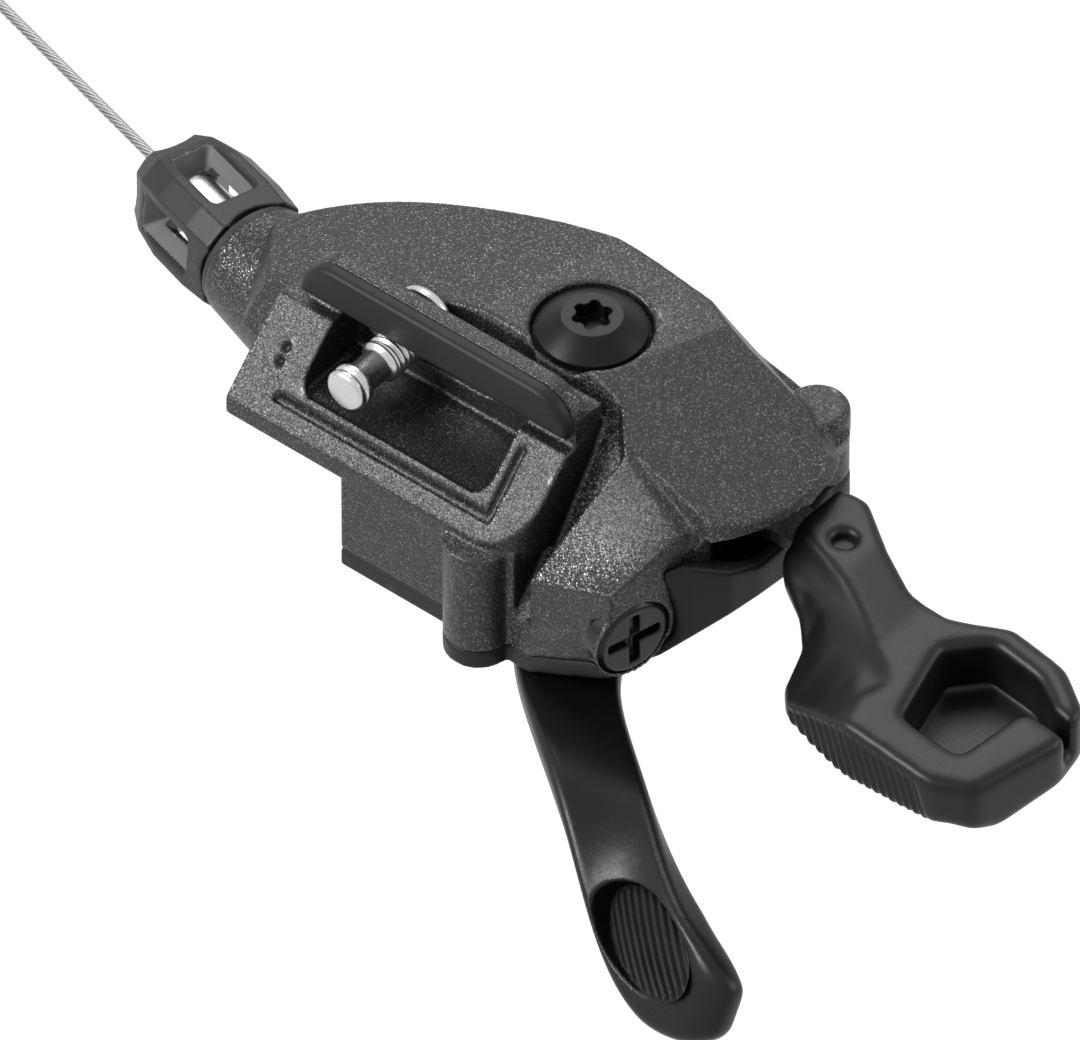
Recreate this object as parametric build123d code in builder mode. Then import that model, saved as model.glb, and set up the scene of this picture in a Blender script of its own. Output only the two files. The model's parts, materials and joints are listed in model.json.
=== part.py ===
"""Trigger gear shifter for the right end of a handlebar, with a direct-mount bracket.

Millimetres. X runs along the bracket's rail towards the levers, Y points away from the
mounting stud's tip and Z runs up the main axle. The origin lies on the stud's axis, in
the slotted wall that the stud slides in.
"""
import os
from math import asin, cos, degrees, radians, sin, tan

from build123d import *

os.makedirs("parts", exist_ok=True)

# Fits
RUN_FIT = 0.05
SLIDE_GAP = 0.3

# Main axle and the heights of what is stacked on it
AXLE_X = 17.0
AXLE_Y = 9.4
AXLE_D = 6.0
AXLE_TOP = -1.0
CEILING_Z = -6.6
PLATE_T = 1.2
FLOOR_Z = -22.6
COVER_BOTTOM = -25.0
CARRIER_T = 1.4
CARRIER_TOP = -20.5

# Cable line and drum
CABLE_D = 1.2
CABLE_Z = -15.0
CABLE_TURN = 15.5
CABLE_BORE = 2.0
DRUM_R = 13.9
WRAP_R = DRUM_R - 1.5
CAVITY_R = DRUM_R + 0.7
WRAP_START = 4.0
WRAP_END = 66.0
DRUM_BOTTOM = -18.4
DRUM_TOP = -11.8
DRUM_HUB_R = 5.2
DRUM_HOLE_R = 2.0
DRUM_HOLE_PITCH_R = 8.0
BUSH_R = 4.0
GROOVE_W = 1.7
NIPPLE_D = 3.4
NIPPLE_L = 4.4
RATCHET_T = 1.6
WIND_TIP_R = 10.3
WIND_ROOT_R = 9.1
WIND_TEETH = 20
HOLD_TIP_R = 10.8
HOLD_ROOT_R = 9.6
HOLD_BORE_R = 8.8
HOLD_TEETH = 24

# Upper case
RIM_Z = -5.7
CASE_SPLIT_X = 36.4
SLOT_BOTTOM = -10.0
DOME_BASE = -10.0
BEVEL_DEPTH = 6.0
BEVEL_SPREAD = 1.35
PLATEAU_Z = 4.6
CREASE_X = 2.2
CREASE_Z = 3.0
LEFT_SLOPE = 17.2
RIGHT_EDGE_X = 24.5
RIGHT_SLOPE = 15.0
FACET_Y = 0.5
FACET_SLOPE = 53.5
SKIRT_R = CAVITY_R + 1.6
FRONT_Y = -12.8
FRONT_LEFT = 0.2
FRONT_RIGHT = 24.4
SLOT_FRONT = -9.0
SLOT_END = 60.0
SLOT_PLATE_Y = 3.0
SLOT_HEEL_X = 43.9
SLOT_HEEL_Y = 24.0
PAWL_ROOM = (15.0, 17.0)
BOSS_X = 19.5
BOSS_R = 3.9
LUG_X = 40.0
LUG_Y = 19.5
LUG_R = 3.6
LUG_TOP = -0.6
LUG_EDGE_R = 0.8
REAR_BOSS_X = 3.0
REAR_BOSS_Y = 22.0
CAP_D = 12.3
CAP_SEAT_Z = 3.4
CAP_RIM = 0.9
CAP_H = 2.8
CAP_GROOVE = 0.55
CAP_SHANK_D = 5.0
CAP_THREAD_L = 7.0
CAP_CROWN_R = 3.4
STAR_R = 2.3
STAR_DEPTH = 2.0
SCREW_D = 2.6
SCREW_L = 9.0
SCREW_HEAD_D = 4.6
SCREW_HEAD_T = 1.4

# Bracket frame, pocket, slotted wall and rail
FRAME_LEFT = -14.9
FRAME_RIGHT = 25.4
FRAME_FRONT = -14.1
FRAME_BACK = -5.0
FRAME_TOP = 1.0
FRAME_EDGE = 2.4
FRAME_CORNER_R = 5.5
FRAME_UNDER = FRAME_TOP + FRAME_FRONT - FRAME_BACK - FRAME_EDGE
OVERHANG_LIP = 1.6
OVERHANG_TOP = -2.6
POCKET_LEFT = -7.2
POCKET_RIGHT = 18.5
POCKET_FRONT = -10.9
POCKET_FLOOR = -5.5
POCKET_WALL = 1.6
POCKET_R = 2.0
FRAME_GROOVE = 0.9
GROOVE_DEPTH = 0.7
GROOVE_Y = -12.5
GROOVE_LEFT = -9.6
GROOVE_RIGHT = 20.6
WALL_FRONT = -0.6
WALL_BACK = 1.2
WALL_TOP = 4.4
TRENCH_BACK = 3.2
STUD_LEFT = 4.2
STUD_RIGHT = 9.8
RAIL_LEFT = -12.0
RAIL_RIGHT = 25.2
RAIL_TOP = 8.0
RAIL_BOTTOM = 2.9
RAIL_SEAM = -3.4
RAIL_FRONT = -5.2
RAIL_BACK = 0.2
RAIL_CORNER_R = 4.6
RAIL_EDGE_R = 0.8

# Mounting stud
STUD_D = 5.0
STUD_NECK_D = 3.7
STUD_TIP = -12.0
STUD_COLLAR = -5.8
STUD_HEAD_D = 8.4
STUD_HEAD_T = 1.5

# Cable inlet, adjuster and plug, as distances along the cable from the drum
INLET_START = 14.0
INLET_END = 45.6
INLET_R = 8.6
INLET_MOUTH_R = 7.0
RING_T = 0.8
BARREL_START = 46.6
BARREL_L = 15.8
BARREL_END = BARREL_START + BARREL_L
BARREL_SIDE = 12.6
BARREL_FORM = ((0.0, 0.96), (0.25, 1.0), (0.6, 0.99), (0.84, 0.9), (1.0, 0.74))
BARREL_CORNER = 2.1
BARREL_TURN = 4.0
BARREL_BORE_R = 4.2
SCALLOP_R = 6.0
SCALLOP_DEPTH = 1.0
WINDOW_L = 0.58 * BARREL_L
WINDOW_W = 7.0
WINDOW_STAND = 1.0
WINDOW_MID = BARREL_START + 0.51 * BARREL_L
WINDOW_FLARE = 24.0
CASING_D = 5.0
CASING_DEPTH = 3.0
BOLT_D = 6.2
BOLT_START = 34.0
BOLT_END = BARREL_END - CASING_DEPTH - 1.0
SEAT_R = 4.6
CABLE_END = 103.0
END_CAP_D = 2.4
END_CAP_L = 8.0
END_CAP_TIP = 2.0
PLUG_FACE = 25.6
PLUG_D = 9.3
PLUG_T = 2.6
PLUG_BOSS_R = 5.1
PLUG_BOSS_L = 8.0
PLUG_BOSS_ROOT_R = 3.2
PLUG_SLOT_W = 1.3
PLUG_SLOT_DEPTH = 1.2
CABLE_HOLE_D = 4.6

# Main lever
HUB_R = 9.0
HUB_BOSS_R = 6.2
HUB_BORE_R = 4.2
LEVER_T = 3.4
LEVER_TOP = COVER_BOTTOM - SLIDE_GAP
NUT_AF = 10.0
NUT_H = 3.0
WASHER_R = 5.2
WASHER_T = 0.5
AXLE_END = 0.4
LEVER_EDGE_R = 1.2
GRIP_L = 17.0
GRIP_W = 9.2
GRIP_T = 1.6
GRIP_RIBS = 11
SPRING_R = 8.0
SPRING_WIRE = 0.9
DRUM_SPRING_R = 7.6
DRUM_SPRING_PITCH = 1.1
LEVER_SPRING_WIRE = 0.7
RELEASE_WIRE = 0.5
RELEASE_COIL_R = 2.6

# Release lever
PIVOT_X = 39.0
PIVOT_Y = 10.5
PIVOT_D = 3.6
RELEASE_T = 1.6
RELEASE_TOP = -8.1
RELEASE_W = 6.4
RELEASE_REACH = 54.0
PAD_TOP = -6.0
PAD_BOTTOM = -18.0
ROOT_BOTTOM = -12.4
CUP_FLOOR = -15.8
PAD_FRONT_Y = -11.0
PAD_FRONT_Z = -13.6
PAD_UNDER_SLOPE = 24.0
PAD_PIN_X = 51.7
PAD_PIN_Y = 9.6
PAD_PIN_D = 3.0
PAD_PIN_SINK = 1.0
SCOOP_R = 7.0
SCOOP_FROM = (54.5, -1.0, -9.8)
SCOOP_TO = (67.0, -4.5, -8.3)
NOTCH_FLOOR = -13.0
PAD_CORNER_R = 1.5
CUP_CORNER_R = 1.2
PIVOT_SET = 2.5
BOWL_END_X = 44.8
BOWL_DEPTH = 7.0
BOWL_SLOPE = 48.0
BASE_R = 13.0

# Pawls
HOLD_PIVOT_X = 32.05
HOLD_PIVOT_Y = 7.3
HOLD_TIP_ANGLE = 27.0
HOLD_TIP_GAP = 1.2
PAWL_T = 1.3
PAWL_PIN_D = 2.4
PAWL_EYE_R = 2.3
WIND_EYE_R = 1.7
CARRIER_EYE_R = 2.0
WIND_PIVOT_R = 12.2
WIND_PIVOT_ANGLE = 200.0
WIND_TIP_ANGLE = 165.0

# Main lever's cross-sections: centre, heading and roll in degrees, width and thickness
LEVER_STATIONS = [
    (24.5, -2.5, -27.0, -58, 0, 13.0, 3.4),
    (30.2, -10.4, -27.0, -52, 0, 11.0, 3.4),
    (42.2, -19.8, -27.8, -36, 4, 9.8, 3.4),
    (50.4, -25.3, -30.8, -32, 34, 10.6, 3.8),
    (59.5, -30.0, -34.0, -25, 58, 12.8, 4.6),
    (66.5, -31.8, -34.6, -14, 62, 10.5, 4.4),
    (70.2, -31.6, -34.4, -4, 62, 5.6, 3.0),
]
GRIP_CENTRE = (58.2, -29.3, -33.5)
GRIP_HEADING = -26.0
GRIP_ROLL = 55.0
GRIP_SINK = 1.2

# Release pad: plan and side outlines, and the plan of the finger cup
PAD_PLAN = [
    (46.4, 6.2), (46.6, 15.3), (50.0, 15.6), (56.0, 11.4), (61.5, 8.6), (66.5, 8.4), (73.3, 12.0),
    (81.0, 11.0), (86.0, 7.6), (87.6, 2.0), (85.0, -9.4), (80.6, -11.6), (68.5, -10.8), (58.6, -8.2),
    (56.6, -6.0), (55.0, -1.0), (52.0, 2.0), (48.0, 4.6),
]
PAD_SIDE = [
    (46.0, PAD_TOP), (55.0, PAD_TOP - 0.2), (64.0, -7.6), (88.0, -8.4), (88.0, -14.0),
    (82.0, PAD_BOTTOM), (66.0, PAD_BOTTOM), (57.5, -15.0), (53.0, ROOT_BOTTOM), (46.0, ROOT_BOTTOM),
]
CUP_PLAN = [
    (72.2, -6.0), (69.0, 4.9), (72.8, 9.2), (79.6, 8.4), (84.2, 5.8), (81.6, 2.4), (80.6, -6.6),
]
NOTCH_PLAN = [(80.0, 3.2), (90.0, 3.0), (90.0, 4.8), (80.0, 6.4)]

# Dome of the upper case: the rim at its foot and on top, and the straight front between
DOME_FOOT = [
    (44.2, -3.9), (49.8, 9.5), (45.0, 21.2), (26.6, 25.3), (14.0, AXLE_Y + SKIRT_R + 0.7),
    (-8.3, 23.2), (-18.6, 19.1), (-28.3, 9.2),
]
DOME_CROWN = [
    (41.2, 0.2), (44.8, 9.2), (42.4, 17.6), (26.4, 20.6), (14.0, AXLE_Y + SKIRT_R - 3.9),
    (-6.8, 18.8), (-15.8, 14.9), (-23.2, 7.4),
]
DOME_FOOT_FRONT = [(-22.0, -3.0), (FRONT_RIGHT, -12.0), (30.0, -3.9)]
DOME_CROWN_FRONT = [(-17.8, 1.6), (FRONT_RIGHT, -7.0), (31.0, 0.2)]

# Line that the dome's bevel starts from at the back right, measured on the sloping top
BEVEL_LINE = [
    (22.8, -15.4), (23.8, -6.4), (23.5, -0.5), (21.8, 3.8), (17.6, 6.9), (8.8, 8.6), (-0.5, 10.5),
    (-10.9, 13.6), (-25.4, 16.6),
]

# Shoulder in front of the dome: two upright profiles, each from its back to its front top corner
SHOULDER_LEFT = [(31.7, 2.3, 1.6), (30.4, -1.5, 1.6), (26.4, -12.8, -11.3)]
SHOULDER_RIGHT = [(41.1, 0.4, -3.0), (40.0, -3.5, -3.0), (37.5, -12.3, -6.9)]
SHOULDER_FOOT = -17.2

# Bowl of the lower cover on the lever side: its outer and inner plan
BOWL_PLAN = [
    (39.2, -6.4), (41.6, -3.6), (44.0, 0.0), (BOWL_END_X, 4.0), (BOWL_END_X, 13.0), (43.0, LUG_Y),
]
BOWL_ROOM = [(42.0, 1.5), (BOWL_END_X - POCKET_WALL, 5.0), (BOWL_END_X - POCKET_WALL, 13.0), (42.0, 14.0)]
BOWL_ROOM_FRONT = -2.0

# Heights and places that follow from the sizes above
LEVER_BOTTOM = LEVER_TOP - LEVER_T
NUT_TOP = LEVER_BOTTOM - RUN_FIT - WASHER_T
AXLE_BOTTOM = NUT_TOP - NUT_H - AXLE_END
HUB_TOP = CEILING_Z - PLATE_T - SLIDE_GAP
HOLD_Z = DRUM_TOP + SLIDE_GAP
FACET_BACK = FACET_Y + PLATEAU_Z / tan(radians(FACET_SLOPE))

cable_out = Vector(-cos(radians(CABLE_TURN)), sin(radians(CABLE_TURN)), 0)
cable_side = Vector(-sin(radians(CABLE_TURN)), -cos(radians(CABLE_TURN)), 0)
tangent = Vector(AXLE_X, AXLE_Y, CABLE_Z) + cable_side * WRAP_R
cable = Plane(tangent, x_dir=(0, 0, 1), z_dir=cable_out)
tangent_angle = 270 - CABLE_TURN
stud = Plane((0, 0, 0), x_dir=(1, 0, 0), z_dir=(0, 1, 0))
axle_half = Plane((AXLE_X, AXLE_Y, 0), x_dir=(1, 0, 0), z_dir=(0, -1, 0))
axle_line = Axis((AXLE_X, AXLE_Y, 0), (0, 0, 1))


def save(piece, name):
    """Label a finished piece and write it as its own file."""
    piece.part.label = name
    export_step(piece.part, f"parts/{name}.step")


def sloped(point, angle_x=0.0, angle_y=0.0):
    """Plane through a point that falls towards +X and +Y by the given angles."""
    return Plane(point, z_dir=(tan(radians(angle_x)), tan(radians(angle_y)), 1))


def axle_point(radius, angle):
    """Plan point at a radius and an angle about the main axle."""
    return (AXLE_X + radius * cos(radians(angle)), AXLE_Y + radius * sin(radians(angle)))


def upright(back, front):
    """Vertical plane from one plan point towards another, with its second axis up."""
    along = Vector(front[0] - back[0], front[1] - back[1], 0).normalized()
    return Plane((back[0], back[1], 0), x_dir=along, z_dir=(along.Y, -along.X, 0))


def level(z):
    """Horizontal plane at a height, with its origin on the main axle."""
    return Plane((AXLE_X, AXLE_Y, z))


def lever_axes(heading, roll):
    """Directions along, across and out of the main lever's thumb face."""
    along = Vector(cos(radians(heading)), sin(radians(heading)), 0)
    right = Vector(along.Y, -along.X, 0)
    across = right * cos(radians(roll)) - Vector(0, 0, 1) * sin(radians(roll))
    out = right * sin(radians(roll)) + Vector(0, 0, 1) * cos(radians(roll))
    return along, across, out


def lever_plane(x, y, z, heading, roll):
    """Plane of one cross-section of the main lever."""
    along, across = lever_axes(heading, roll)[:2]
    return Plane((x, y, z), x_dir=across, z_dir=along)


left_face = sloped((CREASE_X, AXLE_Y, CREASE_Z), angle_x=-LEFT_SLOPE, angle_y=4.6)
right_face = sloped((RIGHT_EDGE_X, AXLE_Y, PLATEAU_Z), angle_x=RIGHT_SLOPE, angle_y=-6.0)
bevel_face = Plane(right_face.origin, x_dir=(1, 0, -tan(radians(RIGHT_SLOPE))), z_dir=right_face.z_dir)
facet = sloped((0, FACET_Y, 0), angle_y=-FACET_SLOPE)
frame_face = sloped((0, FRAME_BACK, FRAME_TOP), angle_y=-45)
bowl_face = sloped((CASE_SPLIT_X, 0, COVER_BOTTOM), angle_x=-BOWL_SLOPE)
pad_under = sloped((0, PAD_FRONT_Y, PAD_FRONT_Z), angle_y=PAD_UNDER_SLOPE)
scoop_run = Vector(*SCOOP_TO) - Vector(*SCOOP_FROM)
grip_along, _, grip_out = lever_axes(GRIP_HEADING, GRIP_ROLL)
grip_plane = Plane(Vector(*GRIP_CENTRE) + grip_out * GRIP_SINK, x_dir=grip_along, z_dir=grip_out)
root_x, root_y, _, root_heading, root_roll, root_width, _ = LEVER_STATIONS[0]
root_along, root_across, _ = lever_axes(root_heading, root_roll)
root_centre = Vector(root_x, root_y) + root_along * LEVER_EDGE_R
hub_centre = Vector(AXLE_X, AXLE_Y)
arm_root = [
    hub_centre + root_across * HUB_R,
    root_centre + root_across * (root_width / 2 - LEVER_EDGE_R),
    root_centre - root_across * (root_width / 2 - LEVER_EDGE_R),
    hub_centre - root_across * HUB_R,
]
wrap_out = Vector(1, 0, 0).rotate(Axis.Z, tangent_angle + WRAP_START)
wrap_plane = Plane((AXLE_X, AXLE_Y, 0), x_dir=wrap_out, z_dir=wrap_out.cross(Vector(0, 0, 1)))
nipple_angle = tangent_angle + WRAP_END + degrees(asin((NIPPLE_L / 2 + RUN_FIT) / WRAP_R))
nipple_plane = Plane(
    (*axle_point(WRAP_R, nipple_angle), CABLE_Z),
    x_dir=(0, 0, 1),
    z_dir=Vector(0, 1, 0).rotate(Axis.Z, nipple_angle),
)
wind_pivot = tuple(Vector(WIND_PIVOT_R, 0).rotate(Axis.Z, WIND_PIVOT_ANGLE))[:2]
wind_tip = tuple(Vector(WIND_TIP_R + SLIDE_GAP, 0).rotate(Axis.Z, WIND_TIP_ANGLE))[:2]
hold_tip = axle_point(HOLD_TIP_R + HOLD_TIP_GAP, HOLD_TIP_ANGLE)
screw_places = [(BOSS_X, FRONT_Y), (LUG_X, LUG_Y), (REAR_BOSS_X, REAR_BOSS_Y)]

# Plan of the walls round the drum, shared by both halves of the case
with BuildSketch() as skirt_plan:
    with BuildLine():
        Polyline(
            (FRONT_LEFT, FRONT_Y), (FRONT_RIGHT, FRONT_Y), SHOULDER_LEFT[-1][:2], SHOULDER_LEFT[0][:2],
            (CASE_SPLIT_X, SHOULDER_LEFT[0][1]), (CASE_SPLIT_X, LUG_Y), (AXLE_X, AXLE_Y + SKIRT_R),
            (AXLE_X - SKIRT_R, AXLE_Y), close=True,
        )
    make_face()
    with Locations((AXLE_X, AXLE_Y)):
        Circle(SKIRT_R)
    with Locations((REAR_BOSS_X, REAR_BOSS_Y)):
        Circle(LUG_R)
    with Locations((BOSS_X, FRONT_Y)):
        Circle(BOSS_R)

# Bracket: frame, pocket wall and the back layer of the rail, before it joins the case
with BuildPart() as bracket_form:
    with BuildSketch(Plane.XY.offset(FRAME_UNDER)):
        with Locations(((FRAME_LEFT + FRAME_RIGHT) / 2, (FRAME_FRONT + WALL_FRONT) / 2)):
            Rectangle(FRAME_RIGHT - FRAME_LEFT, WALL_FRONT - FRAME_FRONT)
        fillet(vertices().group_by(Axis.Y)[0].sort_by(Axis.X)[-1], FRAME_CORNER_R)
    extrude(amount=FRAME_TOP - FRAME_UNDER)
    split(bisect_by=frame_face, keep=Keep.BOTTOM)
    with BuildSketch(Plane.YZ.offset(FRAME_LEFT)):
        with BuildLine():
            Polyline(
                (FRAME_FRONT + OVERHANG_LIP, FRAME_UNDER), (FRAME_BACK + OVERHANG_LIP, OVERHANG_TOP),
                (WALL_FRONT, OVERHANG_TOP), (WALL_FRONT, FRAME_UNDER), close=True,
            )
        make_face()
    extrude(amount=POCKET_LEFT - POCKET_WALL - FRAME_LEFT, mode=Mode.SUBTRACT)
    with BuildSketch(Plane.XY.offset(FLOOR_Z)):
        with Locations(((FRONT_LEFT + FRONT_RIGHT) / 2, (FRONT_Y + WALL_FRONT) / 2)):
            Rectangle(FRONT_RIGHT - FRONT_LEFT, WALL_FRONT - FRONT_Y)
        with Locations((BOSS_X, FRONT_Y)):
            Circle(BOSS_R)
    extrude(amount=FRAME_UNDER + POCKET_WALL - FLOOR_Z)
    with BuildSketch(stud.offset(WALL_FRONT)):
        with Locations(((RAIL_LEFT + RAIL_RIGHT) / 2, -(WALL_TOP + CEILING_Z) / 2)):
            Rectangle(RAIL_RIGHT - RAIL_LEFT, WALL_TOP - CEILING_Z)
    extrude(amount=WALL_BACK - WALL_FRONT)
    with BuildSketch(stud.offset(RAIL_SEAM)):
        with Locations(((RAIL_LEFT + RAIL_RIGHT) / 2, -(RAIL_TOP + FRAME_TOP) / 2)):
            Rectangle(RAIL_RIGHT - RAIL_LEFT, RAIL_TOP - FRAME_TOP)
        fillet(vertices().group_by(Axis.Y)[0], RAIL_CORNER_R)
    extrude(amount=RAIL_BACK - RAIL_SEAM)

# Shoulder between the dome, the bracket and the wall that the plug sits in
with BuildPart() as shoulder_form:
    for profile, foot in ((SHOULDER_LEFT, FLOOR_Z), (SHOULDER_RIGHT, SHOULDER_FOOT)):
        wall = upright(profile[0], profile[-1])
        tops = [(wall.to_local_coords(Vector(*point)).X, point[2]) for point in profile]
        with BuildSketch(wall):
            with BuildLine():
                Polyline((tops[0][0], foot), *tops, (tops[-1][0], foot), close=True)
            make_face()
    loft(ruled=True)

# Floor under it, which belongs to the lower cover
with BuildPart() as shoulder_floor:
    for profile, foot in ((SHOULDER_LEFT, FLOOR_Z), (SHOULDER_RIGHT, SHOULDER_FOOT)):
        wall = upright(profile[0], profile[-1])
        reach = wall.to_local_coords(Vector(*profile[-1])).X
        with BuildSketch(wall):
            with BuildLine():
                Polyline(
                    (0, foot), (reach, foot), (reach, foot + COVER_BOTTOM - FLOOR_Z),
                    (0, foot + COVER_BOTTOM - FLOOR_Z), close=True,
                )
            make_face()
    loft(ruled=True)

# What the sloping facet takes off the dome, behind the bracket and up to the shoulder
with BuildPart() as facet_cut:
    with BuildSketch(Plane.XY.offset(FLOOR_Z)):
        with BuildLine():
            Polyline(
                SHOULDER_LEFT[2][:2], SHOULDER_LEFT[1][:2], (FRAME_RIGHT, FACET_BACK),
                (FRAME_RIGHT, AXLE_Y), (-AXLE_X - CAVITY_R, AXLE_Y), (-AXLE_X - CAVITY_R, -AXLE_X),
                close=True,
            )
        make_face()
    extrude(amount=RAIL_TOP - FLOOR_Z)
    split(bisect_by=facet, keep=Keep.TOP)

# Screw lug at the back right, with a rounded top
with BuildPart() as lug_form:
    with BuildSketch(Plane.XY.offset(DOME_BASE)):
        with Locations((LUG_X, LUG_Y)):
            Circle(LUG_R)
    extrude(amount=LUG_TOP - DOME_BASE)
    fillet(edges().group_by(Axis.Z)[-1], LUG_EDGE_R)

# What the bevel takes off the dome's back right
with BuildPart() as bevel_cut:
    with BuildSketch(bevel_face):
        Rectangle(4 * CASE_SPLIT_X, 4 * CASE_SPLIT_X)
    extrude(amount=-BEVEL_DEPTH)
    for depth, spread in ((0, 1), (BEVEL_DEPTH, BEVEL_SPREAD)):
        rim = [(x * spread, y * spread) for x, y in BEVEL_LINE]
        with BuildSketch(bevel_face.offset(-depth)):
            with BuildLine():
                Spline(*rim)
                Polyline(
                    rim[-1], (-2 * CASE_SPLIT_X, rim[-1][1]), (-2 * CASE_SPLIT_X, -2 * CASE_SPLIT_X),
                    (rim[0][0], -2 * CASE_SPLIT_X), rim[0],
                )
            make_face()
    loft(mode=Mode.SUBTRACT)

# Upper case: the painted shell with the bracket, the cable inlet and the screw bosses
with BuildPart() as upper_case:
    for z, rim, front in (
        (DOME_BASE, DOME_FOOT, DOME_FOOT_FRONT), (PLATEAU_Z, DOME_CROWN, DOME_CROWN_FRONT)
    ):
        with BuildSketch(Plane.XY.offset(z)):
            with BuildLine():
                Spline(*rim)
                Polyline(rim[-1], *front, rim[0])
            make_face()
    loft()
    split(bisect_by=left_face, keep=Keep.BOTTOM)
    split(bisect_by=right_face, keep=Keep.BOTTOM)
    add(bevel_cut.part, mode=Mode.SUBTRACT)
    add(skirt_plan.sketch.moved(Location((0, 0, FLOOR_Z))))
    extrude(amount=DOME_BASE - FLOOR_Z)
    add(facet_cut.part, mode=Mode.SUBTRACT)
    add(lug_form.part)
    with BuildSketch(cable.offset(INLET_START)):
        Circle(INLET_R)
    with BuildSketch(cable.offset(INLET_END)):
        Circle(INLET_MOUTH_R)
    loft()
    split(bisect_by=Plane.XY.offset(FLOOR_Z), keep=Keep.TOP)
    add(bracket_form.part)
    # Slot on the lever side, with room for the release plate and for the heel of its pad
    with BuildSketch(Plane.XY.offset(SLOT_BOTTOM)):
        with BuildLine():
            Polyline(
                (CASE_SPLIT_X, SLOT_FRONT), (SLOT_END, SLOT_FRONT), (SLOT_END, SLOT_HEEL_Y),
                (SLOT_HEEL_X, SLOT_HEEL_Y), (SLOT_HEEL_X, LUG_Y - LUG_R),
                (PIVOT_X - RELEASE_W, LUG_Y - LUG_R), (PIVOT_X - RELEASE_W, SLOT_PLATE_Y),
                (CASE_SPLIT_X, SLOT_PLATE_Y), close=True,
            )
        make_face()
    extrude(amount=RIM_Z - SLOT_BOTTOM, mode=Mode.SUBTRACT)
    # Shoulder, and the boss round the plug
    add(shoulder_form.part)
    with BuildSketch(cable.offset(-PLUG_FACE)):
        Circle(PLUG_BOSS_R)
    with BuildSketch(cable.offset(PLUG_BOSS_L - PLUG_FACE)):
        Circle(PLUG_BOSS_ROOT_R)
    loft()
    # Cavity for the drum and pocket for the holding pawl
    with BuildSketch(level(FLOOR_Z)):
        Circle(CAVITY_R)
    extrude(amount=CEILING_Z - FLOOR_Z, mode=Mode.SUBTRACT)
    with BuildSketch(Plane.XY.offset(DRUM_TOP)):
        with Locations((HOLD_PIVOT_X - BUSH_R, AXLE_Y)):
            RectangleRounded(*PAWL_ROOM, POCKET_R)
    extrude(amount=CEILING_Z - DRUM_TOP, mode=Mode.SUBTRACT)
    # Axle bore and the seat of the cap screw
    with BuildSketch(level(CEILING_Z)):
        Circle(AXLE_D / 2 + RUN_FIT)
    extrude(amount=AXLE_TOP - CEILING_Z, mode=Mode.SUBTRACT)
    with BuildSketch(level(AXLE_TOP)):
        Circle(CAP_SHANK_D / 2 + RUN_FIT)
    extrude(amount=CAP_SEAT_Z - AXLE_TOP, mode=Mode.SUBTRACT)
    with BuildSketch(level(CAP_SEAT_Z)):
        Circle(CAP_D / 2 + CAP_GROOVE)
    extrude(amount=CAP_H, mode=Mode.SUBTRACT)
    # Bracket pocket, open at the front and under the rail
    with BuildSketch(Plane.XY.offset(POCKET_FLOOR)):
        with Locations(((POCKET_LEFT + POCKET_RIGHT) / 2, (POCKET_FRONT + WALL_FRONT) / 2)):
            Rectangle(POCKET_RIGHT - POCKET_LEFT, WALL_FRONT - POCKET_FRONT)
        fillet(vertices().group_by(Axis.Y)[0], POCKET_R)
    extrude(amount=RAIL_BOTTOM - POCKET_FLOOR, mode=Mode.SUBTRACT)
    # Slot for the stud and the trench for its head
    with BuildSketch(stud.offset(WALL_FRONT)):
        with Locations(((STUD_RIGHT - STUD_LEFT) / 2, 0)):
            SlotCenterToCenter(STUD_RIGHT + STUD_LEFT, STUD_D + 2 * SLIDE_GAP)
    extrude(amount=TRENCH_BACK - WALL_FRONT, mode=Mode.SUBTRACT)
    with BuildSketch(Plane.XY.offset(-STUD_HEAD_D / 2 - SLIDE_GAP)):
        with Locations(((STUD_RIGHT - STUD_LEFT) / 2, (WALL_BACK + TRENCH_BACK) / 2)):
            Rectangle(STUD_RIGHT + STUD_LEFT + STUD_HEAD_D + 2 * SLIDE_GAP, TRENCH_BACK - WALL_BACK)
    extrude(amount=PLATEAU_Z + STUD_HEAD_D, mode=Mode.SUBTRACT)
    # Groove round the frame's lower and right sides
    with BuildSketch(Plane.XY.offset(FRAME_UNDER)):
        with BuildLine():
            Polyline(
                (GROOVE_LEFT, GROOVE_Y), (GROOVE_RIGHT, GROOVE_Y), (GROOVE_RIGHT, FRAME_BACK - 0.8),
                (GROOVE_RIGHT - FRAME_GROOVE, FRAME_BACK - 0.8),
                (GROOVE_RIGHT - FRAME_GROOVE, GROOVE_Y + FRAME_GROOVE),
                (GROOVE_LEFT, GROOVE_Y + FRAME_GROOVE), close=True,
            )
        make_face()
    groove_prism = extrude(amount=FRAME_TOP - FRAME_UNDER, mode=Mode.PRIVATE)
    deep_part = split(
        groove_prism, bisect_by=frame_face.offset(-GROOVE_DEPTH), keep=Keep.TOP, mode=Mode.PRIVATE
    )
    add(deep_part, mode=Mode.SUBTRACT)
    # Cable passage: adjuster seat, channel and threading hole
    with BuildSketch(cable.offset(BOLT_START)):
        Circle(SEAT_R)
    extrude(amount=INLET_END - BOLT_START, mode=Mode.SUBTRACT)
    with BuildSketch(cable):
        Circle(CABLE_BORE / 2)
    extrude(amount=BOLT_START, mode=Mode.SUBTRACT)
    with BuildSketch(cable.offset(-PLUG_FACE)):
        Circle(CABLE_HOLE_D / 2)
    extrude(amount=PLUG_FACE, mode=Mode.SUBTRACT)
    with BuildSketch(cable.offset(-PLUG_FACE)):
        Circle(PLUG_D / 2 + RUN_FIT)
    extrude(amount=PLUG_T, mode=Mode.SUBTRACT)
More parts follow.
